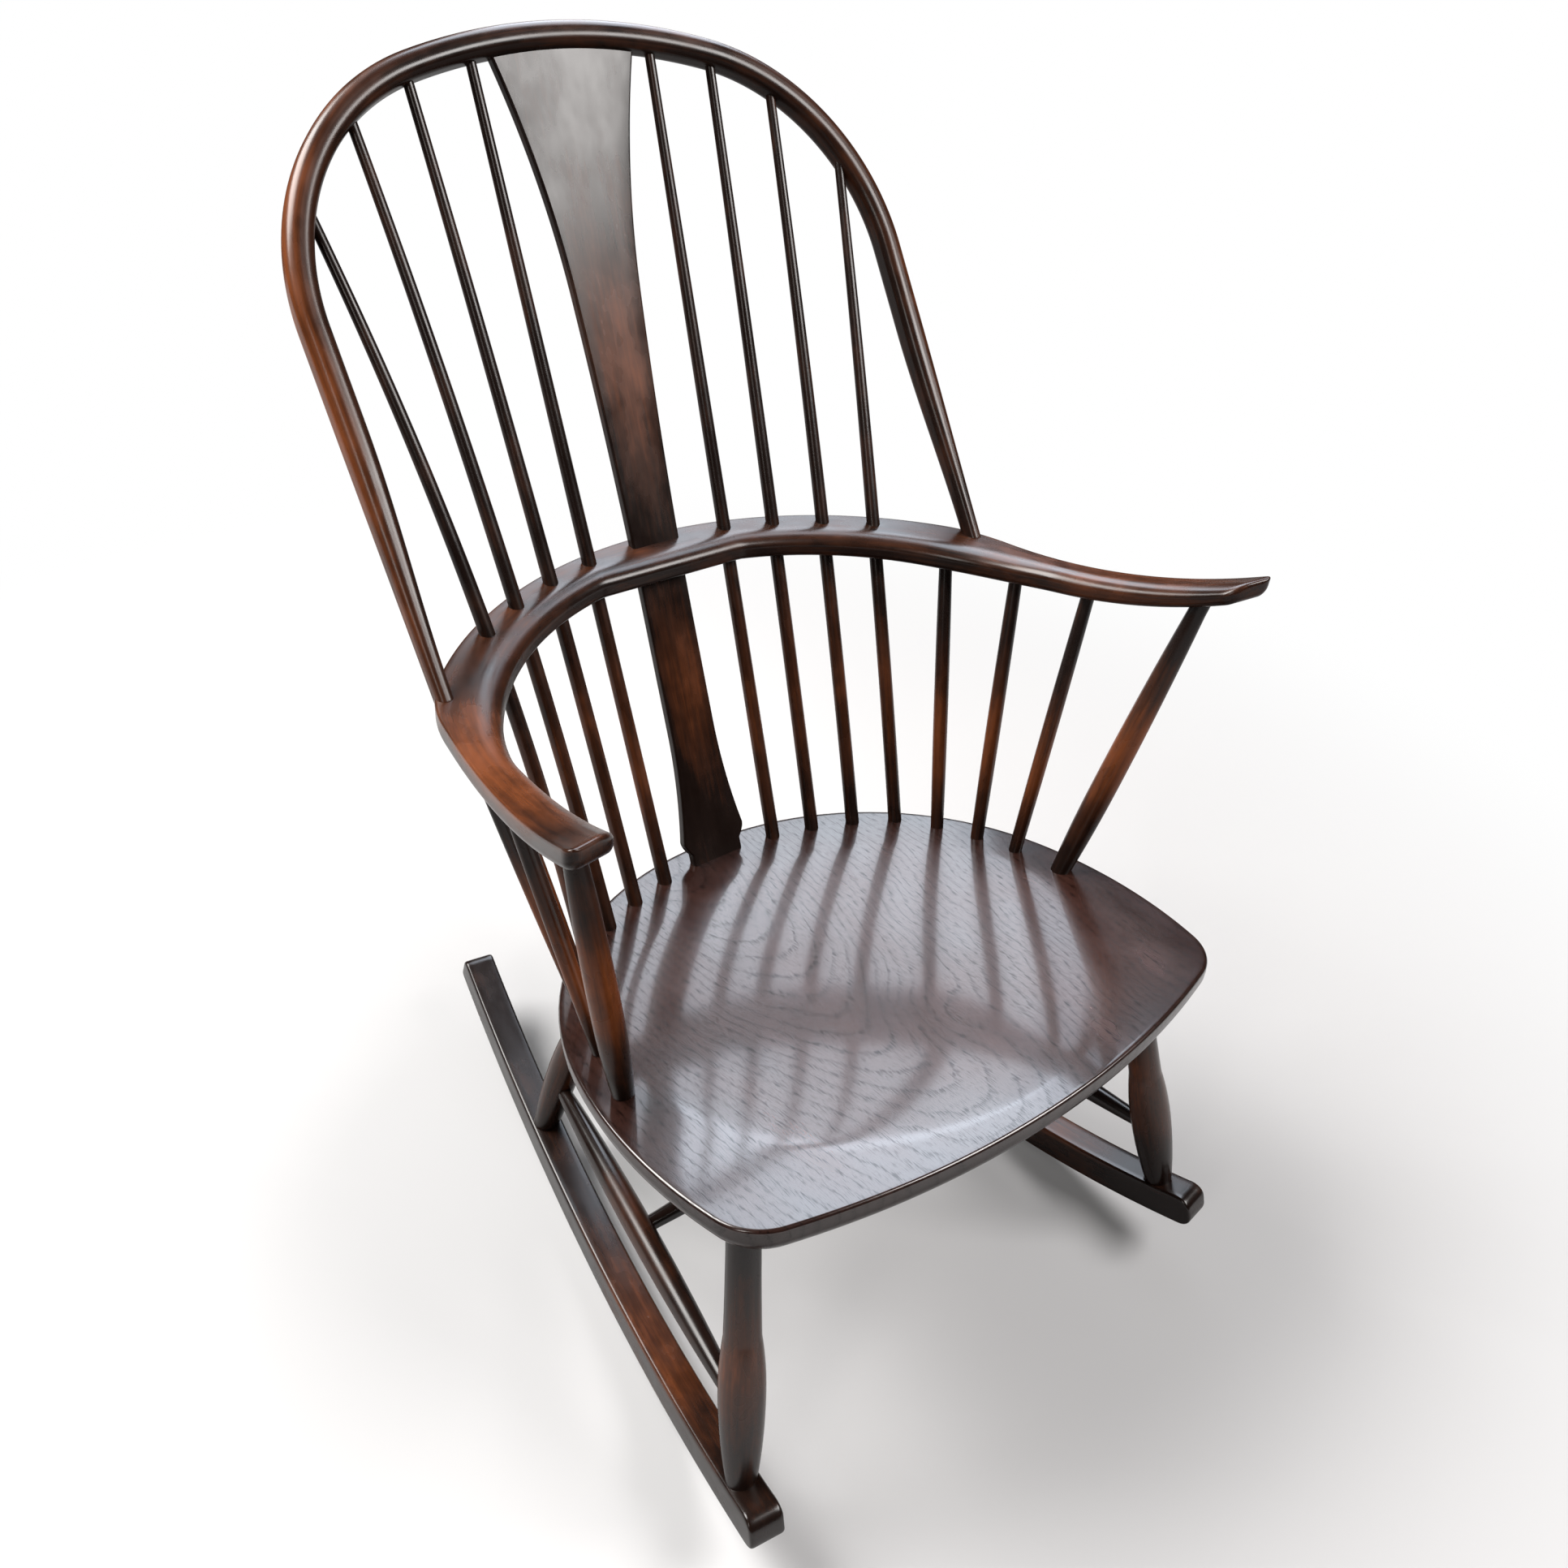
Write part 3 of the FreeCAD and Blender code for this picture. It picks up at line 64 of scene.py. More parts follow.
# Arm bow: where it starts to rise and the arcs of its top and underside, then the outer and the
# inner edge of its plan, the bend and long arc of each arm, the length of an edge from hand to
# middle, the corners of each hand piece, and the roundings of its section
BOW_RISE, BOW_TOP_ARC, BOW_UNDER_ARC = 0.080, 0.582, 0.551
BOW_REAR, BOW_REAR_RADIUS, BOW_SHOULDER = 0.2195, 0.3446, 0.283
BOW_INNER_REAR, BOW_INNER_RADIUS, BOW_INNER_SHOULDER = 0.1695, 0.277, 0.269
BOW_FLAT = 0.072
BOW_INNER_CENTRE = BOW_INNER_REAR - math.sqrt(BOW_INNER_RADIUS ** 2 - BOW_FLAT ** 2)
ARM_BEND, ARM_ARC, ARM_LENGTH = 0.12, 40.0, 0.62
HAND_CORNER, GRIP_CORNER = np.array([0.3300, -0.2078]), np.array([0.290, -0.195])
BOW_CORNERS = ((0.0022, 0.0022), (0.019, 0.0125), (0.005, 0.005), (0.0075, 0.0095))

# Hoop: where its plane meets the bow, its two arcs, the slant of its legs and half its section
HOOP_FOOT, HOOP_CROWN, HOOP_BEND, HOOP_SLANT = 0.0753, 0.499, 0.188, math.radians(1.3)
HOOP_WIDE, HOOP_DEEP, HOOP_CORNER, HOOP_INSET = 0.0108, 0.0121, 0.0092, 0.0006

# Elm: the knot's place on the seat, the width of a growth ring, how far the knot pushes rings
KNOT, RING_WIDTH, KNOT_PUSH = (0.012, 0.145), 0.0078, 0.022


def size(name, millimetres, description):
    """A length that a user may change, given here in millimetres and kept in metres."""
    return bpy.props.FloatProperty(name=name, description=description,
                                   default=millimetres * MM, subtype="DISTANCE", unit="LENGTH")


def angle(name, degrees, description):
    """An angle that a user may change, given here in degrees and kept in radians."""
    return bpy.props.FloatProperty(name=name, description=description,
                                   default=math.radians(degrees), subtype="ANGLE", unit="ROTATION")


def stain(name, code, description):
    """A colour that a user may change, given here as sRGB hex and kept as linear light."""
    return bpy.props.FloatVectorProperty(name=name, description=description, size=3,
                                         default=linear(code), subtype="COLOR", min=0.0, max=1.0)


def linear(code):
    """An sRGB hex colour as linear red, green and blue: c/12.92 when dark, else a 2.4 power."""
    parts = np.array([int(code[i:i + 2], 16) for i in (0, 2, 4)]) / 255
    curve = np.where(parts <= 0.04045, parts / 12.92, ((parts + 0.055) / 1.055) ** 2.4)
    return tuple(float(part) for part in curve)


class ChairSizes(bpy.types.PropertyGroup):
    """The chair's sizes, all in the frame that it was drawn in before it came to rest."""
    rest_roll: angle("Rest roll", 2.16, "How far the chair rolls back to stand at rest")
    rest_shift: size("Rest shift", 14.83, "How far it then moves back")
    rocker_radius: size("Rocker radius", 932.0, "Radius of the rockers' running edge")
    rocker_height: size("Rocker height", 32.5, "Height of a rocker's section")
    rocker_width: size("Rocker width", 30.0, "Width of a rocker's section")
    rocker_spread: size("Rocker spread", 432.4, "Distance between the rockers at the contact")
    rocker_toe: angle("Rocker toe", 8.2, "How far each rocker turns outwards to the front")
    rocker_front: size("Rocker front reach", 300.0, "From the contact to the front tip")
    rocker_back: size("Rocker back reach", 361.0, "From the contact to the rear tip")
    rocker_rest: size("Rocker rest", -78.5, "Where the running edge's lowest point is")
    seat_width: size("Seat width", 544.0, "Widest part of the seat")
    seat_depth: size("Seat depth", 458.5, "Seat from front to back")
    seat_thickness: size("Seat thickness", 33.0, "Thickness of the seat board")
    seat_lean: angle("Seat lean", 7.5, "How far the seat drops to the back")
    seat_front_height: size("Seat height", 353.8, "Height of the front edge")
    seat_front_back: size("Seat front", -345.6, "Place of the front edge")
    seat_widest: size("Seat widest", 166.0, "Where the seat is widest, from its front edge")
    dish_depth: size("Dish depth", 7.0, "Depth of the scooped seat")
    bow_top: size("Arm bow height", 577.0, "Height of the bow's top behind")
    bow_thickness: size("Arm bow thickness", 22.0, "Thickness of the bow")
    hoop_width: size("Hoop width", 547.0, "Width of the hoop between centre lines")
    hoop_rise: size("Hoop rise", 477.5, "Height of the hoop up its own plane")
    hoop_lean: angle("Hoop lean", 37.1, "How far the hoop leans back")
    splat_thickness: size("Splat thickness", 9.5, "Thickness of the splat")


class ChairFinish(bpy.types.PropertyGroup):
    """The stain and lacquer."""
    stain_dark: stain("Dark stain", "1d120e", "Stain where it is thickest")
    stain_warm: stain("Warm stain", "6e3a1c", "Stain where hands have worn it thin")
    seat_dark: stain("Seat dark grain", "231512", "Stain in the pores of the elm seat")
    seat_brown: stain("Seat brown", "3f2721", "Stain on the seat's smooth wood")
    lacquer_roughness: bpy.props.FloatProperty(
        name="Lacquer roughness", description="How dull the lacquer is", default=0.22,
        min=0.0, max=1.0, subtype="FACTOR")


# Places in the chair's own frame

def placed(points, sizes):
    """Chair frame to resting frame: turned about the rockers' centre and moved back."""
    c, s = math.cos(sizes.rest_roll), math.sin(sizes.rest_roll)
    y = points[..., 1] - sizes.rocker_rest
    z = points[..., 2] - sizes.rocker_radius
    return np.stack([points[..., 0],
                     c * y + s * z + sizes.rocker_rest + sizes.rest_shift,
                     c * z - s * y + sizes.rocker_radius], -1)


def tilted(origin, lean):
    """Origin and axes of a plane frame turned about X so that its top leans to the back."""
    c, s = math.cos(lean), math.sin(lean)
    return origin, np.array([[1, 0, 0], [0, c, -s], [0, s, c]], float)


def in_frame(points, base):
    origin, axes = base
    return origin + points @ axes


def seat_frame(sizes):
    origin = np.array([0, sizes.seat_front_back, sizes.seat_front_height])
    return tilted(origin, sizes.seat_lean)


def bow_height(back, sizes):
    """The bow's top is level behind and rises forward on an arc of 582 mm."""
    ahead = np.maximum(0, BOW_RISE - back)
    return sizes.bow_top + BOW_TOP_ARC - np.sqrt(BOW_TOP_ARC ** 2 - ahead ** 2)


def bow_under(back, sizes):
    """The bow's underside rises on a tighter arc, which thins the arms to the front."""
    ahead = np.maximum(0, BOW_RISE - back)
    return (sizes.bow_top - sizes.bow_thickness + BOW_UNDER_ARC
            - np.sqrt(BOW_UNDER_ARC ** 2 - ahead ** 2))


def bow_level(back, sizes):
    return (bow_height(back, sizes) + bow_under(back, sizes)) / 2


def hoop_frame(sizes):
    return tilted(np.array([0, HOOP_FOOT, bow_height(HOOP_FOOT, sizes)]), sizes.hoop_lean)


def fanned(degrees, centre_back):
    """A fan's middle on the chair's centre line, and its way at a given angle from the back."""
    turn = math.radians(degrees)
    return np.array([0, centre_back]), np.array([math.sin(turn), math.cos(turn)])


def ray_to_circle(origin, way, centre, radius):
    offset = origin - centre
    along = offset @ way
    return -along + math.sqrt(along * along - offset @ offset + radius * radius)


def seat_socket(degrees, side, sizes):
    """A spindle's foot, on the line 26 mm inside the seat's edge."""
    origin, way = fanned(degrees, SOCKET_FAN)
    circles = ((np.array([0, sizes.seat_depth - SEAT_REAR]), SEAT_REAR),
               (np.array([sizes.seat_width / 2 - SEAT_SIDE, sizes.seat_widest]), SEAT_SIDE))
    x, y = origin + way * min(ray_to_circle(origin, way, centre, radius - SOCKET_INSET)
                              for centre, radius in circles)
    return in_frame(np.array([x * side, y, 0]), seat_frame(sizes))


def bow_middle(across, back, sizes):
    return np.array([across, back, bow_level(back, sizes)])


def bow_hole(degrees, side, sizes):
    """Where a back spindle passes the bow, 19 mm inside its rear edge."""
    origin, way = fanned(degrees, BOW_INNER_CENTRE)
    centre = np.array([0, BOW_REAR - BOW_REAR_RADIUS])
    x, y = origin + way * ray_to_circle(origin, way, centre, BOW_REAR_RADIUS - HOLE_INSET)
    return bow_middle(x * side, y, sizes)


def hoop_arcs(sizes):
    """The half angle of the hoop's crown, and the height of the centres of its bends."""
    turn = math.asin((sizes.hoop_width / 2 - HOOP_BEND) / (HOOP_CROWN - HOOP_BEND))
    return turn, sizes.hoop_rise - HOOP_CROWN + (HOOP_CROWN - HOOP_BEND) * math.cos(turn)


def hoop_point(across, sizes):
    """A place on the hoop's centre line: on the crown's arc near the middle, else on a bend."""
    turn, height = hoop_arcs(sizes)
    reach = abs(across)
    if reach < HOOP_CROWN * math.sin(turn):
        up = sizes.hoop_rise - HOOP_CROWN + math.sqrt(HOOP_CROWN ** 2 - reach ** 2)
    else:
        up = height + math.sqrt(HOOP_BEND ** 2 - (reach - sizes.hoop_width / 2 + HOOP_BEND) ** 2)
    return in_frame(np.array([across, 0, up]), hoop_frame(sizes))


def rocker_place(back, side, rise, sizes):
    """A place on a rocker's arc, a given rise above its running edge."""
    behind = back - sizes.rocker_rest
    across = (sizes.rocker_spread / 2 - behind * math.tan(sizes.rocker_toe)) * side
    along = behind / math.cos(sizes.rocker_toe)
    radius = sizes.rocker_radius
    return np.array([across, back, radius - math.sqrt((radius - rise) ** 2 - along ** 2)])


def seat_underside(across, back, sizes):
    fall = (back - sizes.seat_front_back) * math.tan(sizes.seat_lean)
    return np.array([across, back, sizes.seat_front_height - fall
                     - sizes.seat_thickness / math.cos(sizes.seat_lean)])


# Lines

def unit(vectors):
    return vectors / np.linalg.norm(vectors, axis=-1, keepdims=True)


def distance_along(path):
    return np.concatenate([[0], np.cumsum(np.linalg.norm(np.diff(path, axis=0), axis=1))])


def hump(along, place, width):
    """A smooth hump that is 1 at its place: e to the minus square of (along - place) / width."""
    return np.exp(-((along - place) / width) ** 2)


def circle_through(start, end, radius):
    """The circle of a given radius through two places, with its middle towards -X."""
    middle, gap = (start + end) / 2, end - start
    half = np.linalg.norm(gap) / 2
    normal = np.array([gap[1], -gap[0]]) / (2 * half)
    normal = normal if normal[0] < 0 else -normal
    return middle + normal * math.sqrt(radius ** 2 - half ** 2), radius


def inner_circle(first, second, radius, towards=(1, 0)):
    """The circle of a given radius that touches two larger circles from inside. Of the two
    such circles it is the one that lies further towards a given way."""
    (c1, r1), (c2, r2) = first, second
    gap = c2 - c1
    far = np.linalg.norm(gap)
    near, next_to = r1 - radius, r2 - radius
    along = (near ** 2 - next_to ** 2 + far ** 2) / (2 * far)
    off = math.sqrt(near ** 2 - along ** 2)
    way = gap / far
    spots = [c1 + way * along + off * sense * np.array([-way[1], way[0]]) for sense in (1, -1)]
    return max(spots, key=lambda spot: spot @ np.array(towards)), radius


def arc_chain(circles, start, end, counts):
    """Points and outward ways along touching circles, from one place to another."""
    spots = [start]
    for (c1, r1), (c2, r2) in zip(circles, circles[1:]):
        way = unit(c2 - c1) if r1 > r2 else unit(c1 - c2)
        spots.append(c1 + way * r1)
    spots.append(end)
    points, ways = [], []
    for (centre, radius), a, b, count in zip(circles, spots, spots[1:], counts):
        turns = [math.atan2(*(spot - centre)[::-1]) for spot in (a, b)]
        turn = np.linspace(*turns, count, endpoint=False)
        way = np.stack([np.cos(turn), np.sin(turn)], -1)
        points.append(centre + radius * way)
        ways.append(way)
    points.append([end])
    ways.append([unit(end - circles[-1][0])])
    return np.concatenate(points), np.concatenate(ways)


def mirrored(half):
    """The right half of an outline, from front to back, and its mirror image back again."""
    return np.concatenate([half, half[-2:0:-1] * np.array([-1, 1])])


def bow_edge(middle, radius, shoulder, hand, end):
    """A long edge of the bow's plan: the nearly straight arm, a bend, and the arc behind."""
    rear = (np.array([0, middle]), radius)
    arm = circle_through(hand, np.array([shoulder, middle + math.sqrt(radius ** 2
                                                                      - shoulder ** 2)]), ARM_ARC)
    bend = inner_circle(rear, arm, ARM_BEND, (0, 1))
    return arc_chain([arm, bend, rear], hand, end, (90, 60, 90))[0]


def bend_of(foot, through, top):
    """The arc through three places: the way up its chord, the way to its bulge, how far up the
    middle place is, the chord's length, the centre's offset and the radius."""
    up = unit(top - foot)
    aside = through - foot
    rise = aside @ up
    aside = aside - up * rise
    bulge, chord = np.linalg.norm(aside), np.linalg.norm(top - foot)
    centre = (bulge ** 2 + rise ** 2 - rise * chord) / (2 * bulge)
    return up, aside / bulge, rise, chord, centre, math.sqrt(centre ** 2 + chord ** 2 / 4)


def bent_path(foot, bend, rise):
    """Places on a bend, from how far each has risen up the chord: foot + rise + the sway."""
    up, aside, _, chord, centre, radius = bend
    sway = centre + np.sqrt(radius ** 2 - (rise - chord / 2) ** 2)
    return foot + up * rise[:, None] + aside * sway[:, None]


# Surfaces

def shell(name, stands_for, slot, rings, grain, wear_and_shading):
    """A closed skin over rings: row i of the grid is one ring, and a pole closes each end."""
    count, sides = rings.shape[:2]
    points = np.concatenate([rings.reshape(-1, 3), rings[[0, -1]].mean(1)])
    places = np.concatenate([grain.reshape(-1, 3), grain[[0, -1]].mean(1)])
    worn = np.concatenate([wear_and_shading.reshape(-1), wear_and_shading[[0, -1]].mean(1)])
    index = np.arange(count * sides).reshape(count, sides)
    after = np.roll(index, -1, 1)
    quads = np.stack([index[:-1], after[:-1], after[1:], index[1:]], -1).reshape(-1, 4)
    first, last = count * sides, count * sides + 1
    caps = np.concatenate([
        np.stack([after[0], index[0], np.full(sides, first)], -1),
        np.stack([index[-1], after[-1], np.full(sides, last)], -1)])
    points = placed(points, bpy.context.scene.chair_sizes)
    facets = np.concatenate([quads[:, [0, 1, 2]], quads[:, [0, 2, 3]], caps])
    a, b, c = (points[facets[:, k]] - points[0] for k in range(3))
    # A skin that holds a negative volume faces inwards, so its faces are turned round
    if np.einsum("ij,ij->", a, np.cross(b, c)) < 0:
        quads, caps = quads[:, ::-1], caps[:, ::-1]
    mesh = bpy.data.meshes.new(name)
    mesh.from_pydata(points.tolist(), [], quads.tolist() + caps.tolist())
    mesh.shade_smooth()
    attribute = mesh.attributes.new("grain", "FLOAT_VECTOR", "POINT")
    attribute.data.foreach_set("vector", places.astype(np.float32).ravel())
    attribute = mesh.attributes.new("wear_and_shading", "FLOAT", "POINT")
    attribute.data.foreach_set("value", np.clip(worn, 0, 1).astype(np.float32))
    mesh.materials.append(material_for(slot))
    piece = bpy.data.objects.new(name, mesh)
    bpy.context.scene.collection.objects.link(piece)
    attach(piece, "root")
    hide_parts(stands_for)


def bar_grain(section, run):
    """The wood's own coordinates in a bar: across and through its section, and along its run."""
    along = np.broadcast_to(run[:, None, None], (*section.shape[:2], 1))
    return np.concatenate([section, along], -1)


def rod(path, radii, sides, hint):
    """A round skin: path(i) + r(i) (cos a u(i) + sin a v(i)), u and v square to the path."""
    way = unit(np.gradient(path, axis=0))
    u = unit(hint - way * (way @ hint)[:, None])
    v = np.cross(way, u)
    turn = np.linspace(0, 2 * math.pi, sides, endpoint=False)
    spoke = np.cos(turn)[None, :, None] * u[:, None] + np.sin(turn)[None, :, None] * v[:, None]
    rings = path[:, None] + radii[:, None, None] * spoke
    run = distance_along(path)
    circle = radii[:, None, None] * np.stack([np.cos(turn), np.sin(turn)], -1)
    return rings, bar_grain(circle, run), run


def rounded_box(half_x, half_y, radii, steps=6, fill=5):
    """Rings of a box whose corners are quarter ellipses. The halves are arrays along the piece,
    and radii is one radius or the (x, y) pairs of the corners, round from +X +Y."""
    half_x, half_y = np.broadcast_arrays(np.atleast_1d(half_x), np.atleast_1d(half_y))
    if np.ndim(radii) == 0:
        radii = [(radii, radii)] * 4
    corners = []
    for number, (sx, sy) in enumerate(((1, 1), (-1, 1), (-1, -1), (1, -1))):
        wide = np.minimum(radii[number][0], half_x * 0.98)[:, None]
        high = np.minimum(radii[number][1], half_y * 0.98)[:, None]
        turn = np.linspace(0, math.pi / 2, steps) + number * math.pi / 2
        corners.append(np.stack([sx * (half_x[:, None] - wide) + wide * np.cos(turn),
                                 sy * (half_y[:, None] - high) + high * np.sin(turn)], -1))
    rows = []
    step = np.linspace(0, 1, fill + 2)[1:-1, None]
    for one, following in zip(corners, corners[1:] + corners[:1]):
        rows += [one, one[:, -1:] + (following[:, :1] - one[:, -1:]) * step]
    return np.concatenate(rows, 1)


def nosed(run, radius):
    """How far a rounded end of a given radius draws in, by distance from the end."""
    return np.where(run < radius, radius - np.sqrt(
        np.maximum(0, radius ** 2 - (radius - run) ** 2)), 0)


def turning_profile(stations):
    """Radius by length: straight runs and arcs. An arc lies level at its wide end, or where it
    is hollow at its narrow end, so r = end -+ (R - sqrt(R^2 - distance^2))."""
    lengths, radii = [], []
    for (start, width, _), (end, wide, bend) in zip(stations, stations[1:]):
        t = np.linspace(start, end, 22)
        low, high = width / 2, wide / 2
        if bend is None or low == high:
            r = low + (high - low) * (t - start) / (end - start)
        else:
            step, rise = abs(high - low), end - start
            radius = (rise ** 2 + step ** 2) / (2 * step)
            grows = high > low
            full = grows == (bend == "swell")
            level = end if full == grows else start
            sink = radius - np.sqrt(radius ** 2 - (t - level) ** 2)
            r = max(low, high) - sink if full else min(low, high) + sink
        lengths.append(t[:-1])
        radii.append(r[:-1])
    lengths.append([stations[-1][0]])
    radii.append([stations[-1][1] / 2])
    return np.concatenate(lengths), np.concatenate(radii)


def turned_piece(name, start, end, stations, slot, wear_and_shading, shift):
    """A piece turned on the line from start to end. Stations are lengths from the start, with
    the diameter there and the curve up to it, and wear is a function of the share of length."""
    lengths, radii = turning_profile(stations)
    way = unit(end - start)
    hint = np.array([1.0, 0, 0]) if abs(way[0]) < 0.9 else np.array([0, 0, 1.0])
    rings, grain, run = rod(start + way * lengths[:, None], radii, 32, hint)
    mask = wear_and_shading(run / run[-1])[:, None] * np.ones(rings.shape[1])
    shell(name, name, slot, rings, grain + shift, mask)


# Materials

MATH, MIX, RAMP = "ShaderNodeMath", "ShaderNodeMix", "ShaderNodeValToRGB"
DARKEN = {"data_type": "RGBA", "blend_type": "MULTIPLY"}


def node(tree, kind, *sources, stops=(), **settings):
    """Adds a node with its settings and fills its inputs, in order or by name, with values or
    links. A node as a source stands for its first output, and stops are the places and colours
    of a colour ramp."""
    made = tree.nodes.new(kind)
    for key, value in settings.items():
        setattr(made, key, value)
    named = sources and isinstance(sources[0], dict)
    for key, value in sources[0].items() if named else enumerate(sources):
        if isinstance(value, bpy.types.Node):
            value = value.outputs[0]
        if isinstance(value, bpy.types.NodeSocket):
            tree.links.new(value, made.inputs[key])
        else:
            made.inputs[key].default_value = value
    if stops:
        elements = made.color_ramp.elements
        elements[0].position, elements[1].position = stops[0][0], stops[-1][0]
        for place, _ in stops[1:-1]:
            elements.new(place)
        for element, (_, colour) in zip(elements, stops):
            element.color = (*colour, 1)
    return made


def blank_material(name):
    material = bpy.data.materials.new(name)
    material.use_nodes = True
    material.node_tree.nodes.clear()
    return material, material.node_tree


def wood_marks(tree):
    """The piece's own grain coordinates, and its mark of wear with painted light and shade mixed in
    on some pieces, both from its mesh.
    """
    return (node(tree, "ShaderNodeAttribute", attribute_name="grain").outputs["Vector"],
            node(tree, "ShaderNodeAttribute", attribute_name="wear_and_shading").outputs["Fac"])


def streaks(tree, grain, across, along, detail, roughness):
    """Noise drawn out along the grain; across and along are its cells per metre."""
    spread = node(tree, "ShaderNodeMapping", {"Vector": grain, "Scale": (across, across, along)})
    return node(tree, "ShaderNodeTexNoise", {"Vector": spread, "Scale": 1.0, "Detail": detail,
                                             "Roughness": roughness})


def gloss_with_side_shade(tree):
    """How much gloss the lacquer shows, set by the way each face looks: all of it on faces that
    look up and little on the sides and the undersides, which is a painted shade on what those faces
    mirror."""
    facing = node(tree, "ShaderNodeSeparateXYZ",
                  node(tree, "ShaderNodeNewGeometry").outputs["Normal"])
    return node(tree, "ShaderNodeMapRange", {"Value": facing.outputs["Z"], "From Min": -0.1,
                                             "From Max": 0.42, "To Min": 0.15, "To Max": 1.0})


def grey(value):
    return (value, value, value)


def tint(colour, factor):
    return tuple(min(1.0, part * factor) for part in colour)


def stained_beech(name, finish, warmth, gloss):
    """Beech, stained nearly black and lacquered to a satin gloss. The eye sees short flecks,
    streaks along the grain, and the stain worn to a warm brown where hands and shoes wear it, with
    painted light and shade mixed in on the hoop and the splat."""
    material, tree = blank_material(name)
    grain, worn = wood_marks(tree)
    # Streaks 3 mm across and 62 mm long, flecks 0.7 mm by 8 mm, patches of wear 36 mm by 71 mm
    streak = streaks(tree, grain, 330, 16, 4.0, 0.6)
    fleck = streaks(tree, grain, 1400, 120, 2.0, 0.5)
    patch = streaks(tree, grain, 28, 14, 3.0, 0.65)
    amount = node(tree, MATH, worn, warmth, operation="MULTIPLY")
    patchy = node(tree, MATH, patch, 0.8, -0.40, operation="MULTIPLY_ADD")
    streaky = node(tree, MATH, streak, 0.5, -0.25, operation="MULTIPLY_ADD")
    amount = node(tree, MATH, amount, patchy, operation="ADD")
    amount = node(tree, MATH, amount, streaky, operation="ADD", use_clamp=True)
    dark, warm = tuple(finish.stain_dark), tuple(finish.stain_warm)
    middle = tuple(d * 0.7 + w * 0.28 for d, w in zip(dark, warm))
    colour = node(tree, RAMP, amount, stops=[
        (0.0, tint(dark, 0.7)), (0.2, dark), (0.48, middle), (0.78, warm), (1.0, tint(warm, 1.2))])
    shade = node(tree, RAMP, fleck, stops=[(0.36, grey(0.5)), (0.52, grey(1.0))])
    colour = node(tree, MIX, {0: 0.18, 6: colour, 7: shade}, **DARKEN).outputs[2]
    rough = finish.lacquer_roughness + gloss
    dull = node(tree, "ShaderNodeMapRange", {"Value": patch, "From Min": 0.3, "From Max": 0.7,
                                             "To Min": rough - 0.05, "To Max": rough + 0.1})
    bump = node(tree, "ShaderNodeBump", {"Height": streak, "Strength": 0.02, "Distance": 0.0003})
    # The gloss is dimmed on the sides and undersides, a painted shade on their reflections
    gleam_and_side_shade = node(tree, MATH, gloss_with_side_shade(tree), 0.5, operation="MULTIPLY")
    shader = node(tree, "ShaderNodeBsdfPrincipled", {
        "Base Color": colour, "Roughness": dull, "Normal": bump, "Specular IOR Level": gleam_and_side_shade,
        "IOR": 1.46})
    node(tree, "ShaderNodeOutputMaterial", shader)
    return material


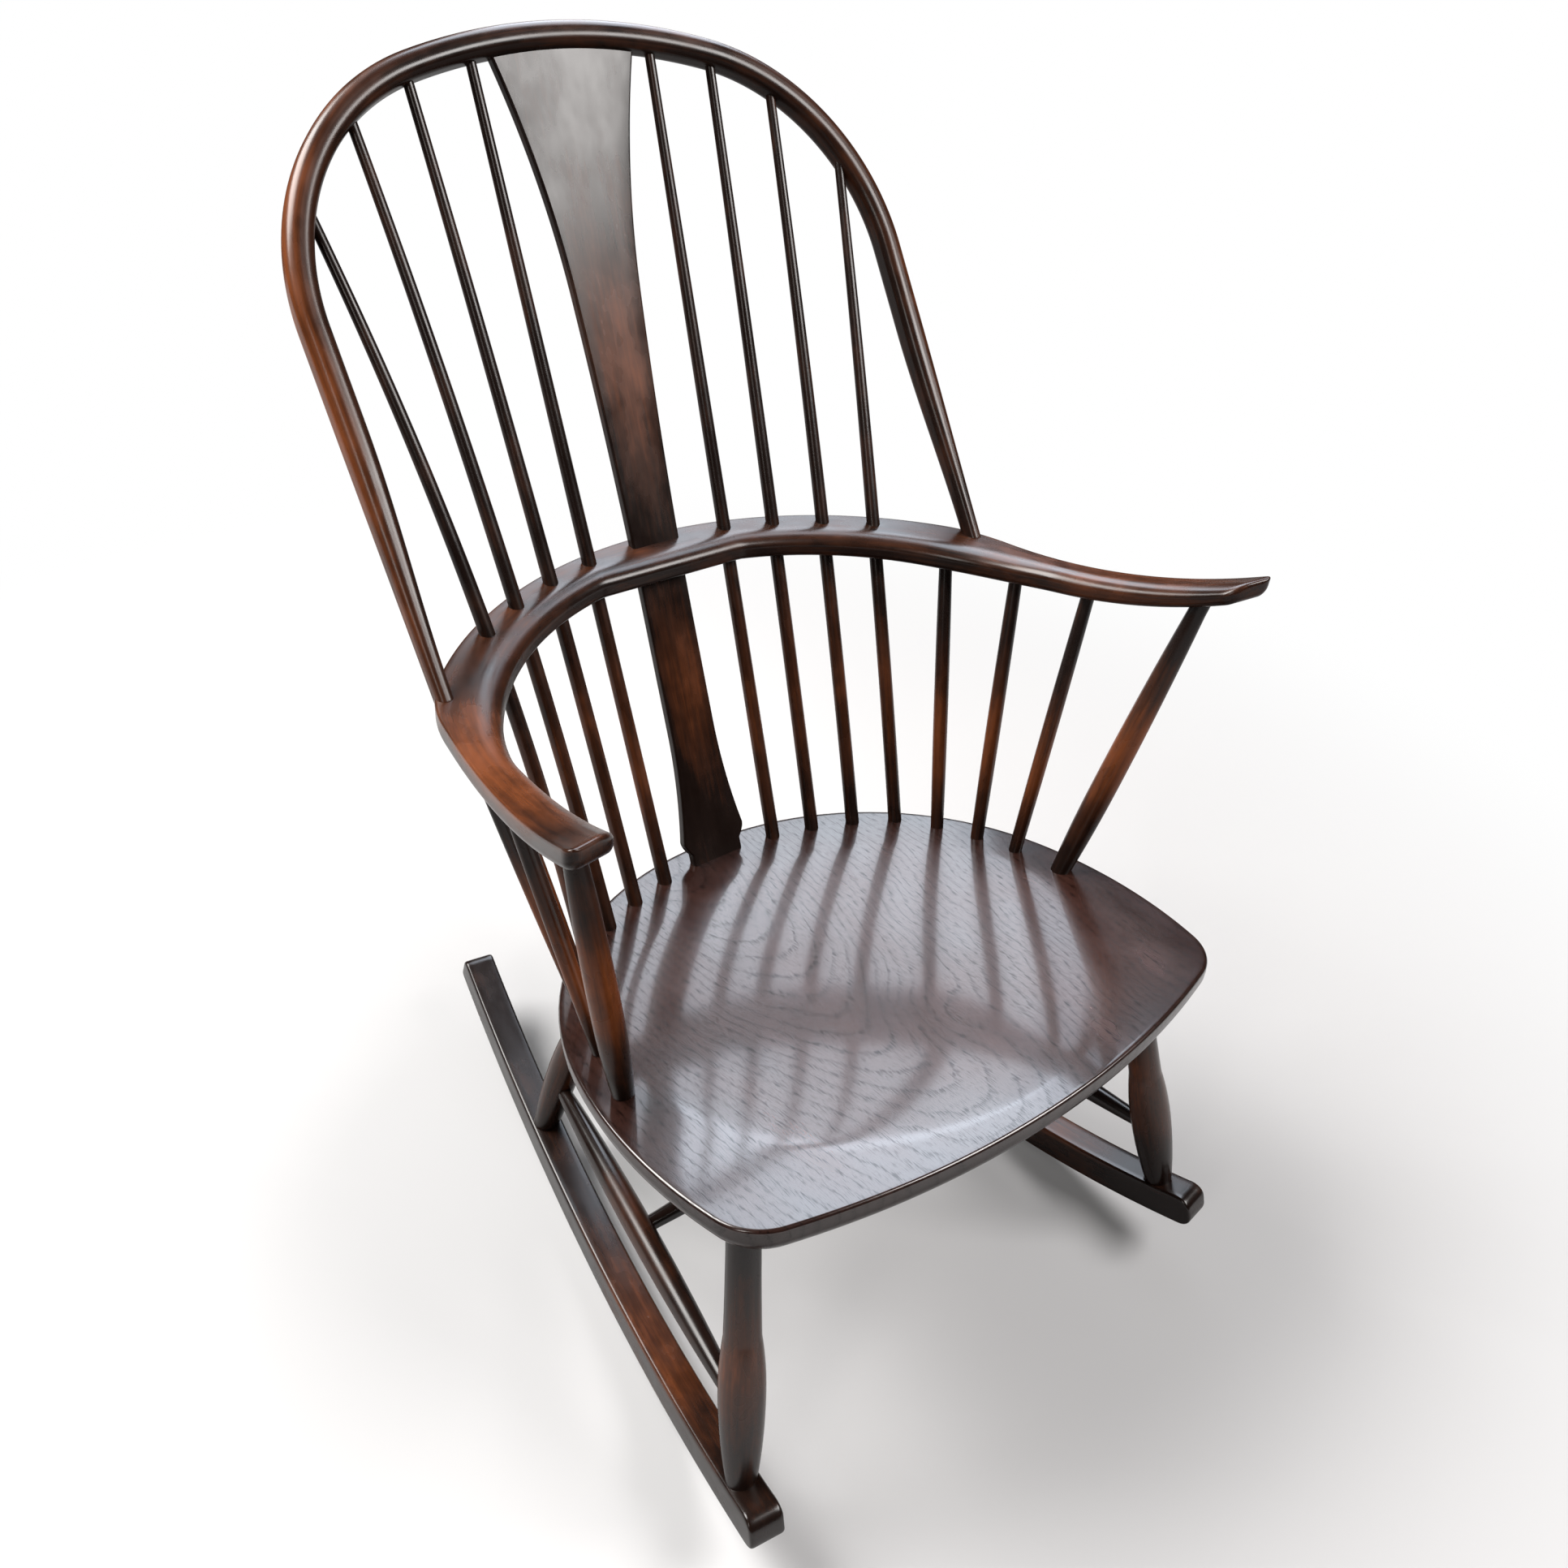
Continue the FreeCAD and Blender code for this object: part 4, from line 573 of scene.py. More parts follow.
def lacquered_elm(name, finish):
    """Elm, stained and lacquered. Growth rings 8 mm wide are cut at a slant into long pointed
    arches, their open pores take the stain as dark dashes, and a knot turns the rings aside."""
    material, tree = blank_material(name)
    grain, worn = wood_marks(tree)
    split = node(tree, "ShaderNodeSeparateXYZ", grain)
    across, along = split.outputs["X"], split.outputs["Z"]
    # The rings' heart runs 45 mm to the left and 135 mm under the front edge, and comes 26 mm
    # nearer for each 100 mm back. The rings sway by up to 30 mm in waves of 111 mm by 200 mm,
    # and ripple by up to 1.5 mm in waves of 17 mm by 45 mm
    sway = streaks(tree, grain, 9, 5, 3.0, 0.55)
    ripple = streaks(tree, grain, 60, 22, 2.0, 0.5)
    sway = node(tree, MATH, sway, 0.06, -0.03, operation="MULTIPLY_ADD")
    ripple = node(tree, MATH, ripple, 0.003, -0.0015, operation="MULTIPLY_ADD")
    aside = node(tree, MATH, across, 0.045, operation="ADD")
    aside = node(tree, MATH, aside, sway, operation="ADD")
    sunk = node(tree, MATH, along, -0.26, 0.135, operation="MULTIPLY_ADD")
    squares = [node(tree, MATH, part, part, operation="MULTIPLY") for part in (aside, sunk)]
    ring = node(tree, MATH, node(tree, MATH, *squares, operation="ADD"), operation="SQRT")
    ring = node(tree, MATH, ring, ripple, operation="ADD")
    # The knot pushes the rings out by up to 22 mm, within about 33 mm across and 56 mm along
    squares = []
    for line, place, cells in ((across, KNOT[0], 30.0), (along, KNOT[1], 18.0)):
        near = node(tree, MATH, line, place, operation="SUBTRACT")
        near = node(tree, MATH, near, cells, operation="MULTIPLY")
        squares.append(node(tree, MATH, near, near, operation="MULTIPLY"))
    near = node(tree, MATH, node(tree, MATH, *squares, operation="ADD"), -1.0,
                operation="MULTIPLY")
    push = node(tree, MATH, near, operation="EXPONENT")
    push = node(tree, MATH, push, KNOT_PUSH, operation="MULTIPLY")
    ring = node(tree, MATH, ring, push, operation="ADD")
    ring = node(tree, MATH, ring, RING_WIDTH, operation="DIVIDE")
    early = node(tree, RAMP, node(tree, MATH, ring, operation="FRACT"), stops=[
        (0.0, grey(0.25)), (0.07, grey(1.0)), (0.30, grey(0.35)), (0.6, grey(0.0)),
        (1.0, grey(0.2))])
    # Pores 0.8 mm across and 9 mm long, finer ones between, and clouds 62 mm by 125 mm
    pore = streaks(tree, grain, 1250, 110, 2.0, 0.5)
    fine = streaks(tree, grain, 2200, 150, 1.0, 0.5)
    cloud = streaks(tree, grain, 16, 8, 3.0, 0.6)
    pores = node(tree, MATH, early, 0.15, 0.42, operation="MULTIPLY_ADD")
    pores = node(tree, MATH, pores, pore, operation="SUBTRACT")
    pores = node(tree, MATH, pores, 7.0, operation="MULTIPLY", use_clamp=True)
    dark, brown = tuple(finish.seat_dark), tuple(finish.seat_brown)
    # Wear lightens the tone; where it is nought, on the seat's side and underside, the dark tone is
    # a painted shade
    tone = node(tree, MATH, worn, 0.55, operation="MULTIPLY")
    cloudy = node(tree, MATH, cloud, 0.9, -0.25, operation="MULTIPLY_ADD")
    tone = node(tree, MATH, tone, cloudy, operation="ADD", use_clamp=True)
    colour = node(tree, RAMP, tone, stops=[(0.0, tint(dark, 0.8)), (0.45, tint(brown, 0.55)),
                                           (0.75, brown), (1.0, tint(brown, 1.35))])
    banded = node(tree, RAMP, early, stops=[(0.0, grey(1.0)), (1.0, grey(0.5))])
    flecked = node(tree, RAMP, fine, stops=[(0.4, grey(0.7)), (0.55, grey(1.0))])
    open_pore = node(tree, MATH, pores, -0.75, 1.0, operation="MULTIPLY_ADD")
    for amount, shade in ((0.15, banded), (0.6, flecked), (1.0, open_pore)):
        colour = node(tree, MIX, {0: amount, 6: colour, 7: shade}, **DARKEN).outputs[2]
    rough = finish.lacquer_roughness
    dull = node(tree, "ShaderNodeMapRange", {"Value": cloud, "From Min": 0.3, "From Max": 0.7,
                                             "To Min": rough - 0.04, "To Max": rough + 0.06})
    height = node(tree, MATH, fine, 0.15, operation="MULTIPLY")
    height = node(tree, MATH, height, pores, operation="SUBTRACT")
    bump = node(tree, "ShaderNodeBump", {"Height": height, "Strength": 0.05, "Distance": 0.0003})
    closed = node(tree, MATH, pores, -0.4, 1.0, operation="MULTIPLY_ADD")
    # Gloss dimmed on the sides and undersides is a painted shade; the open pores dim it too
    polish_and_side_shade = node(tree, MATH, gloss_with_side_shade(tree), closed, operation="MULTIPLY")
    shader = node(tree, "ShaderNodeBsdfPrincipled", {
        "Base Color": colour, "Roughness": dull, "Normal": bump,
        "Coat Weight": node(tree, MATH, polish_and_side_shade, 0.7, operation="MULTIPLY"),
        "Specular IOR Level": node(tree, MATH, polish_and_side_shade, 0.5, operation="MULTIPLY"),
        "IOR": 1.48, "Coat Roughness": 0.085, "Coat IOR": 1.5})
    node(tree, "ShaderNodeOutputMaterial", shader)
    return material


# How warm the worn stain, with its painted light and shade, shows in each slot, and how much duller
# its lacquer is
BEECH = {"bent_wood": (1.0, 0.02), "splat_board": (0.95, 0.0), "turned_wood": (1.05, 0.04),
         "leg_wood": (0.7, 0.02), "runner_wood": (0.9, 0.0)}


def material_for(slot):
    """One material for each slot of the record, made once."""
    name, finish = slot + "_finish", bpy.context.scene.chair_finish
    made = bpy.data.materials.get(name)
    if made is None and slot in BEECH:
        made = stained_beech(name, finish, *BEECH[slot])
    return made or lacquered_elm(name, finish)


# The chair's pieces

class ROCKER_OT_seat(bpy.types.Operator):
    """Lays the dished elm seat. Its rings are the outline of five touching arcs, scaled from the
    middle on the faces and set in along a quarter round at the rim and under the edge."""
    bl_idname = "rocker.seat"
    bl_label = "Seat"

    def execute(self, context):
        sizes = context.scene.chair_sizes
        width, depth, thick = sizes.seat_width, sizes.seat_depth, sizes.seat_thickness
        front = (np.array([0, SEAT_FRONT]), SEAT_FRONT)
        side = (np.array([width / 2 - SEAT_SIDE, sizes.seat_widest]), SEAT_SIDE)
        rear = (np.array([0, depth - SEAT_REAR]), SEAT_REAR)
        circles = [front, inner_circle(front, side, SEAT_CORNER), side,
                   inner_circle(side, rear, SEAT_SHOULDER), rear]
        half, ways = arc_chain(circles, np.array([0, 0.0]), np.array([0, depth]),
                               (26, 14, 30, 20, 26))
        outline, outward = mirrored(half), mirrored(ways)
        middle = np.array([0, depth * 0.46])
        # From the middle out, round the rim, down the side, round the undercut and back in
        out = np.concatenate([np.linspace(0.012, 0.9, 54), np.linspace(0.91, 1, 10)[:-1]])
        back_in = np.linspace(1, 0.03, 14)[1:]
        quarter = np.linspace(0, math.pi / 2, 8)
        sideways, down = 1 - np.sin(quarter), 1 - np.cos(quarter)
        rows = np.concatenate([out, np.ones(2 * len(quarter) + 1), back_in])[:, None]
        inset = np.concatenate([np.full(len(out), SEAT_RIM), SEAT_RIM * sideways, [0],
                                SEAT_UNDERCUT * sideways[::-1],
                                np.full(len(back_in), SEAT_UNDERCUT)])[:, None]
        fall = np.concatenate([np.zeros(len(out)), SEAT_RIM * down, [SEAT_RIM + 0.0005],
                               thick - SEAT_UNDERCUT * down[::-1],
                               np.full(len(back_in), thick)])[:, None]
        edge = outline[None] - inset[..., None] * outward[None]
        flat = middle + rows[..., None] * (edge - middle)
        x, y = flat[..., 0], flat[..., 1]
        dish = (x / DISH_ACROSS) ** 2 + ((y - DISH_PLACE) / DISH_ALONG) ** 2
        bowl = sizes.dish_depth * np.maximum(0, 1 - dish) ** 1.4 * (fall < thick / 2)
        points = np.stack([x, y, -(fall + bowl)], -1)
        grain = np.stack([x, np.broadcast_to(-fall, x.shape), y], -1)
        # The top is worn lightest in the middle and less towards the rim; the side and the
        # underside get no wear, so they take the darkest tone, a painted shade
        wear_and_shading = np.where(fall > SEAT_RIM, 0, np.clip(1.25 - rows ** 3 * 0.9, 0, 1))
        shell("seat_board", "seat", "seat_board", in_frame(points, seat_frame(sizes)), grain,
              wear_and_shading * np.ones(len(outline)))
        return {"FINISHED"}


class ROCKER_OT_arm_bow(bpy.types.Operator):
    """Bends the arm bow. Each ring spans the inner and outer plan curves at the same share of
    their lengths, as a box with a crisp outer top edge and a wide round along the inner one."""
    bl_idname = "rocker.arm_bow"
    bl_label = "Arm bow"

    def execute(self, context):
        sizes = context.scene.chair_sizes
        outer = bow_edge(BOW_REAR - BOW_REAR_RADIUS, BOW_REAR_RADIUS, BOW_SHOULDER,
                         HAND_CORNER, np.array([0, BOW_REAR]))
        inner = bow_edge(BOW_INNER_CENTRE, BOW_INNER_RADIUS, BOW_INNER_SHOULDER,
                         GRIP_CORNER, np.array([BOW_FLAT, BOW_INNER_REAR]))
        inner = np.concatenate([inner, [[0, BOW_INNER_REAR]]])
        spots = np.concatenate([[0, 0.0006, 0.0015, 0.003, 0.005, 0.008, 0.012, 0.017, 0.023,
                                 0.031, 0.040], np.linspace(0.05, 1, 90)])
        sides = []
        for line in (outer, inner):
            run = distance_along(line)
            sides.append(np.stack([np.interp(spots * run[-1], run, line[:, k])
                                   for k in (0, 1)], -1))
        outer, inner = sides
        # The hand piece is rounded in plan at both corners and over its front edge
        run = spots * ARM_LENGTH
        span = unit(outer - inner)
        outer = outer - span * nosed(run, 0.012)[:, None]
        inner = inner + span * nosed(run, 0.009)[:, None]
        centre, reach = (outer + inner) / 2, np.linalg.norm(outer - inner, axis=1) / 2
        depth = bow_height(centre[:, 1], sizes) - bow_under(centre[:, 1], sizes)
        section = rounded_box(reach, depth / 2 - nosed(run, 0.005), BOW_CORNERS, 10, 9)
        flat = centre[:, None] + section[..., :1] * span[:, None]
        level = bow_level(flat[..., 1], sizes)
        right = np.concatenate([flat, (level + section[..., 1])[..., None]], -1)
        rings = np.concatenate([right, right[-2::-1] * np.array([-1, 1, 1])])
        section = np.concatenate([section, section[-2::-1]])
        length = distance_along(rings.mean(1))
        along = length / length[-1]
        # The left hand has rubbed its arm to a warm brown, the right one less
        rub_and_shading = 0.36 * hump(along, 0.86, 0.10) + 0.26 * hump(along, 0.12, 0.1) + 0.36
        top = np.clip(section[..., 1] / 0.008, 0, 1)
        shell("arm_bow_bent", "arm_bow", "bent_wood", rings, bar_grain(section, length),
              rub_and_shading[:, None] * (0.6 + 0.4 * top))
        return {"FINISHED"}


class ROCKER_OT_hoop(bpy.types.Operator):
    """Bends the hoop: a softened bar carried up one leg, round a bend, over the crown and down.
    Towards each foot it is shaved thinner from its inner side, by a smooth step over 210 mm."""
    bl_idname = "rocker.hoop"
    bl_label = "Hoop"

    def execute(self, context):
        sizes = context.scene.chair_sizes
        turn, height = hoop_arcs(sizes)
        over = np.linspace(math.pi / 2, math.pi / 2 - turn, 50, endpoint=False)
        round_the = np.linspace(math.pi / 2 - turn, -HOOP_SLANT, 44, endpoint=False)
        top = np.stack([HOOP_CROWN * np.cos(over),
                        sizes.hoop_rise - HOOP_CROWN + HOOP_CROWN * np.sin(over)], -1)
        centre = np.array([sizes.hoop_width / 2 - HOOP_BEND, height])
        side = centre + HOOP_BEND * np.stack([np.cos(round_the), np.sin(round_the)], -1)
        low = centre + HOOP_BEND * np.array([math.cos(HOOP_SLANT), -math.sin(HOOP_SLANT)])
        # The leg runs on 12 mm below the bow's top, into its socket
        foot = low - np.array([math.tan(HOOP_SLANT), 1]) * (low[1] + 0.012)
        leg = low + (foot - low) * np.linspace(0, 1, 40)[:, None]
        right = np.concatenate([top, side, leg])
        line = np.concatenate([right[::-1], right[1:] * np.array([-1, 1])])
        plane = hoop_frame(sizes)
        path = in_frame(np.stack([line[:, 0], np.zeros(len(line)), line[:, 1]], -1), plane)
        facing = plane[1][1]
        outwards = np.cross(facing, unit(np.gradient(path, axis=0)))
        run = distance_along(path)
        along = run / run[-1]
        ease = np.clip(np.minimum(run, run[-1] - run) / 0.21, 0, 1)
        shaved = 0.60 + 0.40 * ease ** 2 * (3 - 2 * ease)
        section = rounded_box(np.full(len(run), HOOP_WIDE), HOOP_DEEP, HOOP_CORNER, 12, 3)
        x = HOOP_WIDE - (HOOP_WIDE - section[..., 0]) * shaved[:, None]
        y = section[..., 1] * (0.3 + 0.7 * shaved[:, None])
        inset = path - outwards * HOOP_INSET
        rings = inset[:, None] + x[..., None] * outwards[:, None] + y[..., None] * facing
        rub_and_shading = 0.44 + 0.30 * hump(along, 0.80, 0.13) + 0.22 * hump(along, 0.2, 0.1)
        # The inner side is darker than the outside, a painted shade.
        wear_and_shading = rub_and_shading[:, None] * (0.7 + 0.3 * np.clip(section[..., 0] / HOOP_WIDE, -1, 1))
        shell("hoop_bent", "hoop", "bent_wood", rings, bar_grain(section, run) + 3.1, wear_and_shading)
        return {"FINISHED"}


class ROCKER_OT_splat(bpy.types.Operator):
    """Sets the splat: a thin board with softened edges, carried up the arc of the back's bend,
    narrow at the waist and flaring to the hoop."""
    bl_idname = "rocker.splat"
    bl_label = "Splat"

    def execute(self, context):
        sizes = context.scene.chair_sizes
        foot = seat_socket(0, 1, sizes)
        bend = bend_of(foot, bow_hole(0, 1, sizes), hoop_point(0, sizes))
        chord = bend[3]
        # Half its width at the tongue, skirt, waist, flare and top, and how far up these lie
        tongue, skirt, waist, flare, end = 0.0275, 0.034, 0.0238, 0.0325, 0.070
        tongue_top, skirt_at, waist_low, waist_high, flare_at = 0.010, 0.024, 0.130, 0.228, 0.519
        rise = np.concatenate([np.linspace(-0.012, tongue_top, 6), np.linspace(0.0101, 0.024, 8),
                               np.linspace(0.026, chord - 0.004, 100)])
        low = waist_low - skirt_at
        hollow = (low ** 2 + (skirt - waist) ** 2) / (2 * (skirt - waist))
        run = flare_at - waist_high
        long_radius = (run ** 2 + (flare - waist) ** 2) / (2 * (flare - waist))
        lean = math.asin(run / long_radius)
        out, left = end - flare, chord - flare_at
        short = (out ** 2 + left ** 2) / (2 * (out * math.cos(lean) - left * math.sin(lean)))
        turn_x, turn_y = flare + short * math.cos(lean), flare_at - short * math.sin(lean)
        parts = (tongue_top, skirt_at, waist_low, waist_high, flare_at)
        shoulder = (rise - tongue_top) / (skirt_at - tongue_top) * math.pi / 2
        half = np.select([rise < part for part in parts], [
            np.full(len(rise), tongue),
            tongue + (skirt - tongue) * np.sin(shoulder),
            waist + hollow - np.sqrt(np.maximum(0, hollow ** 2 - (waist_low - rise) ** 2)),
            np.full(len(rise), waist),
            waist + long_radius - np.sqrt(long_radius ** 2 - np.maximum(0, rise - waist_high) ** 2),
        ], turn_x - np.sqrt(np.maximum(0, short ** 2 - (rise - turn_y) ** 2)))
        path = bent_path(foot, bend, rise)
        across = np.array([1.0, 0, 0])
        facing = np.cross(unit(np.gradient(path, axis=0)), across)
        section = rounded_box(half, sizes.splat_thickness / 2, 0.0022)
        rings = path[:, None] + section[..., :1] * across + section[..., 1:] * facing[:, None]
        along = rise / chord
        # The lighter bands low down and two thirds up are partly wear and partly painted light on
        # the splat's face, and the board is darker towards both edges
        rub_and_shading = 0.45 * hump(along, 0.24, 0.13) + 0.12 + 0.5 * hump(along, 0.66, 0.16)
        middle = 1 - (np.abs(section[..., 0]) / half[:, None]) ** 4 * 0.5
        shell("splat_board", "splat", "splat_board", rings, bar_grain(section, rise) + 5.3,
              rub_and_shading[:, None] * middle)
        return {"FINISHED"}


class ROCKER_OT_back_spindles(bpy.types.Operator):
    """Springs the eight back spindles: tapered round rods on the arc through the seat's socket,
    the bow's hole and the hoop."""
    bl_idname = "rocker.back_spindles"
    bl_label = "Back spindles"

    def execute(self, context):
        sizes = context.scene.chair_sizes
        for name, side in SIDES:
            for number, reach in enumerate((0.303, 0.512, 0.713, 0.914)):
                foot = seat_socket(FIRST_FOOT + number * NEXT_FOOT, side, sizes)
                through = bow_hole(FIRST_HOLE + number * NEXT_HOLE, side, sizes)
                top = hoop_point(reach * sizes.hoop_width / 2 * side, sizes)
                bend = bend_of(foot, through, top)
                _, aside, bow_rise, chord, _, _ = bend
                rise = np.linspace(-SOCKET_DEPTH, chord - 0.002, 90)
                # It tapers from foot to top, and the taper's corners are smoothed away
                widths = np.interp(rise, [0, bow_rise, chord * 0.7, chord - 0.0255],
                                   [13.3, 12.7, 10.6, 8.2]) * MM
                widths = np.convolve(np.pad(widths, 8, "edge"), np.full(17, 1 / 17), "valid")
                rings, grain, run = rod(bent_path(foot, bend, rise), widths / 2, 24, aside)
                rub_and_shading = 0.30 * hump(run / run[-1], 0.22, 0.16) + 0.18
                label = f"back_spindle_{name}_{number + 1}"
                shell(label + "_rod", label, "turned_wood", rings, grain + side * (1.7 + number),
                      rub_and_shading[:, None] * np.ones(24))
        return {"FINISHED"}


def under_arm(label, foot, aim, widths, belly_share, shift, wear_and_shading):
    """A short spindle or post, turned on the line from the seat up into the arm."""
    foot_width, belly, top_width = (width * MM for width in widths)
    bow_socket = 0.014
    way = unit(aim - foot)
    tip = aim + way * (bow_socket - bpy.context.scene.chair_sizes.bow_thickness / 2)
    span = np.linalg.norm(tip - foot)
    free = span - bow_socket - 0.008
    stations = ((0, foot_width, None), (SOCKET_DEPTH, foot_width, None),
                (SOCKET_DEPTH + free * belly_share, belly, "swell"),
                (SOCKET_DEPTH + free, top_width, "spring"),
                (SOCKET_DEPTH + span, top_width, None))
    turned_piece(label, foot - way * SOCKET_DEPTH, tip, stations, "turned_wood", wear_and_shading, shift)


class ROCKER_OT_arm_spindles(bpy.types.Operator):
    """Turns the six short spindles under the arms, with a slight swell half way up."""
    bl_idname = "rocker.arm_spindles"
    bl_label = "Arm spindles"

    def execute(self, context):
        sizes = context.scene.chair_sizes
        tops = ((0.866, 0.362), (0.982, 0.080), (1.027, -0.266))
        for name, side in SIDES:
            for number, (across, back) in enumerate(tops):
                foot = seat_socket(FIRST_FOOT + (number + 4) * NEXT_FOOT, side, sizes)
                aim = bow_middle(across * BOW_SHOULDER * side, back * BOW_REAR, sizes)
                under_arm(f"arm_spindle_{name}_{number + 1}", foot, aim, (12.4, 13.9, 12.4), 0.5,
                          side * (9.1 + number), lambda u: 0.14 + 0.50 * hump(u, 0.38, 0.26))
        return {"FINISHED"}


class ROCKER_OT_arm_posts(bpy.types.Operator):
    """Turns the two stouter posts that carry the fronts of the arms."""
    bl_idname = "rocker.arm_posts"
    bl_label = "Arm posts"

    def execute(self, context):
        sizes = context.scene.chair_sizes
        for name, side in SIDES:
            aim = bow_middle(1.074 * BOW_SHOULDER * side, -0.749 * BOW_REAR, sizes)
            under_arm(f"arm_post_{name}", seat_socket(POST_FOOT, side, sizes), aim,
                      (18.0, 23.2, 15.6), 0.33, side * 13.3,
                      lambda u: 0.12 + 0.62 * hump(u, 0.5, 0.22))
        return {"FINISHED"}


def leg_lines(side, sizes):
    """The foot on the rocker and the top under the seat, for the front and the rear leg."""
    places = ((0.215, -0.2535, -0.3259), (0.153, 0.0415, 0.077))
    return [(rocker_place(foot_back, side, sizes.rocker_height, sizes),
             seat_underside(across * side, back, sizes)) for across, back, foot_back in places]


class ROCKER_OT_legs(bpy.types.Operator):
    """Turns the four legs: a full belly a third of the way up, easing to a slim top."""
    bl_idname = "rocker.legs"
    bl_label = "Legs"

    def execute(self, context):
        sizes = context.scene.chair_sizes
        cope, tenon = 0.005, 0.014
        kinds = (("front", 25.5, 37.4, 26.5), ("rear", 24.0, 31.0, 24.0))
        for name, side in SIDES:
            for (foot, top), (place, low, belly, high) in zip(leg_lines(side, sizes), kinds):
                way, span = unit(top - foot), np.linalg.norm(top - foot)
                waist = high + (belly - high) * 0.30
                stations = ((0, low * MM, None), (cope, low * MM, None),
                            (cope + span * 0.33, belly * MM, "swell"),
                            (cope + span * 0.53, waist * MM, "spring"),
                            (cope + span, high * MM, "swell"),
                            (cope + span + tenon, high * MM, None))
                turned_piece(f"{place}_leg_{name}", foot - way * cope, top + way * tenon,
                             stations, "leg_wood", lambda u: 0.12 + 0.50 * hump(u, 0.45, 0.25),
                             side * (17.7 + belly / 10))
        return {"FINISHED"}


def cigar(label, start, end, width, sunk_start, sunk_end, shift):
    """A stretcher turned to a long swell, that starts and ends inside what it joins."""
    tenon, tenon_width = 0.012, 0.014
    way = unit(end - start)
    start, end = start + way * sunk_start, end - way * sunk_end
    span = np.linalg.norm(end - start)
    stations = ((0, tenon_width, None), (tenon, tenon_width, None), (span / 2, width, "swell"),
                (span - tenon, tenon_width, "spring"), (span, tenon_width, None))
    turned_piece(label, start, end, stations, "leg_wood",
                 lambda u: 0.10 + 0.35 * hump(u, 0.5, 0.25), shift)


class ROCKER_OT_stretchers(bpy.types.Operator):
    """Joins the legs with two side stretchers and one across."""
    bl_idname = "rocker.stretchers"
    bl_label = "Stretchers"

    def execute(self, context):
        middles = []
        for name, side in SIDES:
            start, end = (foot + (top - foot) * 0.25
                          for foot, top in leg_lines(side, context.scene.chair_sizes))
            # Each end is 12 mm deep in a leg, whose belly is 37.4 mm in front and 31 mm behind
            cigar(f"side_stretcher_{name}", start, end, 0.024, 0.0374 / 2 - 0.012,
                  0.031 / 2 - 0.012, side * 23.9)
            middles.append((start + end) / 2)
        cigar("cross_stretcher", *middles, 0.022, 0.004, 0.004, 29.3)
        return {"FINISHED"}


class ROCKER_OT_rockers(bpy.types.Operator):
    """Saws the two rockers: a softened box carried along an arc, rounded over at both tips."""
    bl_idname = "rocker.rockers"
    bl_label = "Rockers"

    def execute(self, context):
        sizes = context.scene.chair_sizes
        radius, height = sizes.rocker_radius, sizes.rocker_height
        ends = [math.asin(reach / radius) for reach in (sizes.rocker_front, sizes.rocker_back)]
        tip = np.array([0, 0.0004, 0.0012, 0.0025, 0.0045, 0.007, 0.010, 0.013, 0.018]) / radius
        turn = np.concatenate([-ends[0] + tip, np.linspace(-ends[0] + 0.026, ends[1] - 0.026, 90),
                               ends[1] - tip[::-1]])
        half = np.full(len(turn), height / 2)
        wide = np.full(len(turn), sizes.rocker_width / 2)
        for gap, nose in ((turn + ends[0], 0.013), (ends[1] - turn, 0.008)):
            half -= nosed(gap * radius, nose)
            wide -= nosed(gap * radius, 0.003)
        section = rounded_box(wide, half, 0.0032)
        reach = radius - height / 2 - section[..., 1]
        local = np.stack([section[..., 0], reach * np.sin(turn)[:, None],
                          radius - reach * np.cos(turn)[:, None]], -1)
        run = turn * radius
        rub_and_shading = 0.16 + 0.42 * hump(run, -0.10, 0.13)
        wear_and_shading = rub_and_shading[:, None] * (0.45 + 0.55 * (section[..., 1] > height * 0.3))
        for name, side in SIDES:
            toe = sizes.rocker_toe * side
            c, s = math.cos(toe), math.sin(toe)
            rest = np.array([sizes.rocker_spread / 2 * side, sizes.rocker_rest, 0])
            rings = rest + local @ np.array([[c, s, 0], [-s, c, 0], [0, 0, 1]])
            shell(f"rocker_{name}_runner", f"rocker_{name}", "runner_wood", rings,
                  bar_grain(section, run) + side * 31.0, wear_and_shading)
        return {"FINISHED"}


# The stage

# Name, place, aim, width, height, power, colour, and whether it only shines
LAMPS = (
    ("rear_left_softbox", (-1.4, 1.5, 2.6), (0, 0, 0.4), 1.8, 1.8, 165.0, (1, 0.98, 0.95), False),
    ("front_softbox", (1.25, -1.5, 2.4), (0, 0.3, 0.9), 1.5, 1.0, 70.0, (1, 0.97, 0.95), False),
    ("left_strip", (-2.4, -1.1, 2.0), (0, 0, 0.6), 0.5, 1.3, 12.0, (1, 0.95, 0.9), False),
    ("roof_window", (1.3, 1.4, 2.6), (1.0, 1.1, 0.4), 1.6, 1.8, 62.0, (0.78, 0.87, 1.0), True),
    ("rear_window", (2.1, 2.93, 2.55), (0.8, 0, 0.6), 1.7, 1.3, 32.0, (0.80, 0.88, 1.0), True))
# Name and two opposite corners of each black cloth; the gap behind on the right is a window's
FLAGS = (
    ("front_flag", (-3, -3, 0), (3, -3, 3.4)),
    ("left_flag", (-3, -3, 0), (-3, 3, 3.4)),
    ("top_flag", (-3, -3, 3.4), (3, 0.6, 3.4)),
    ("right_flag", (3, -3, 0), (3, 3, 3.4)),
    ("rear_left_flag", (-3, 3, 0), (1, 3, 3.2)),
    ("rear_right_flag", (1, 3, 0), (3, 3, 1.75)))


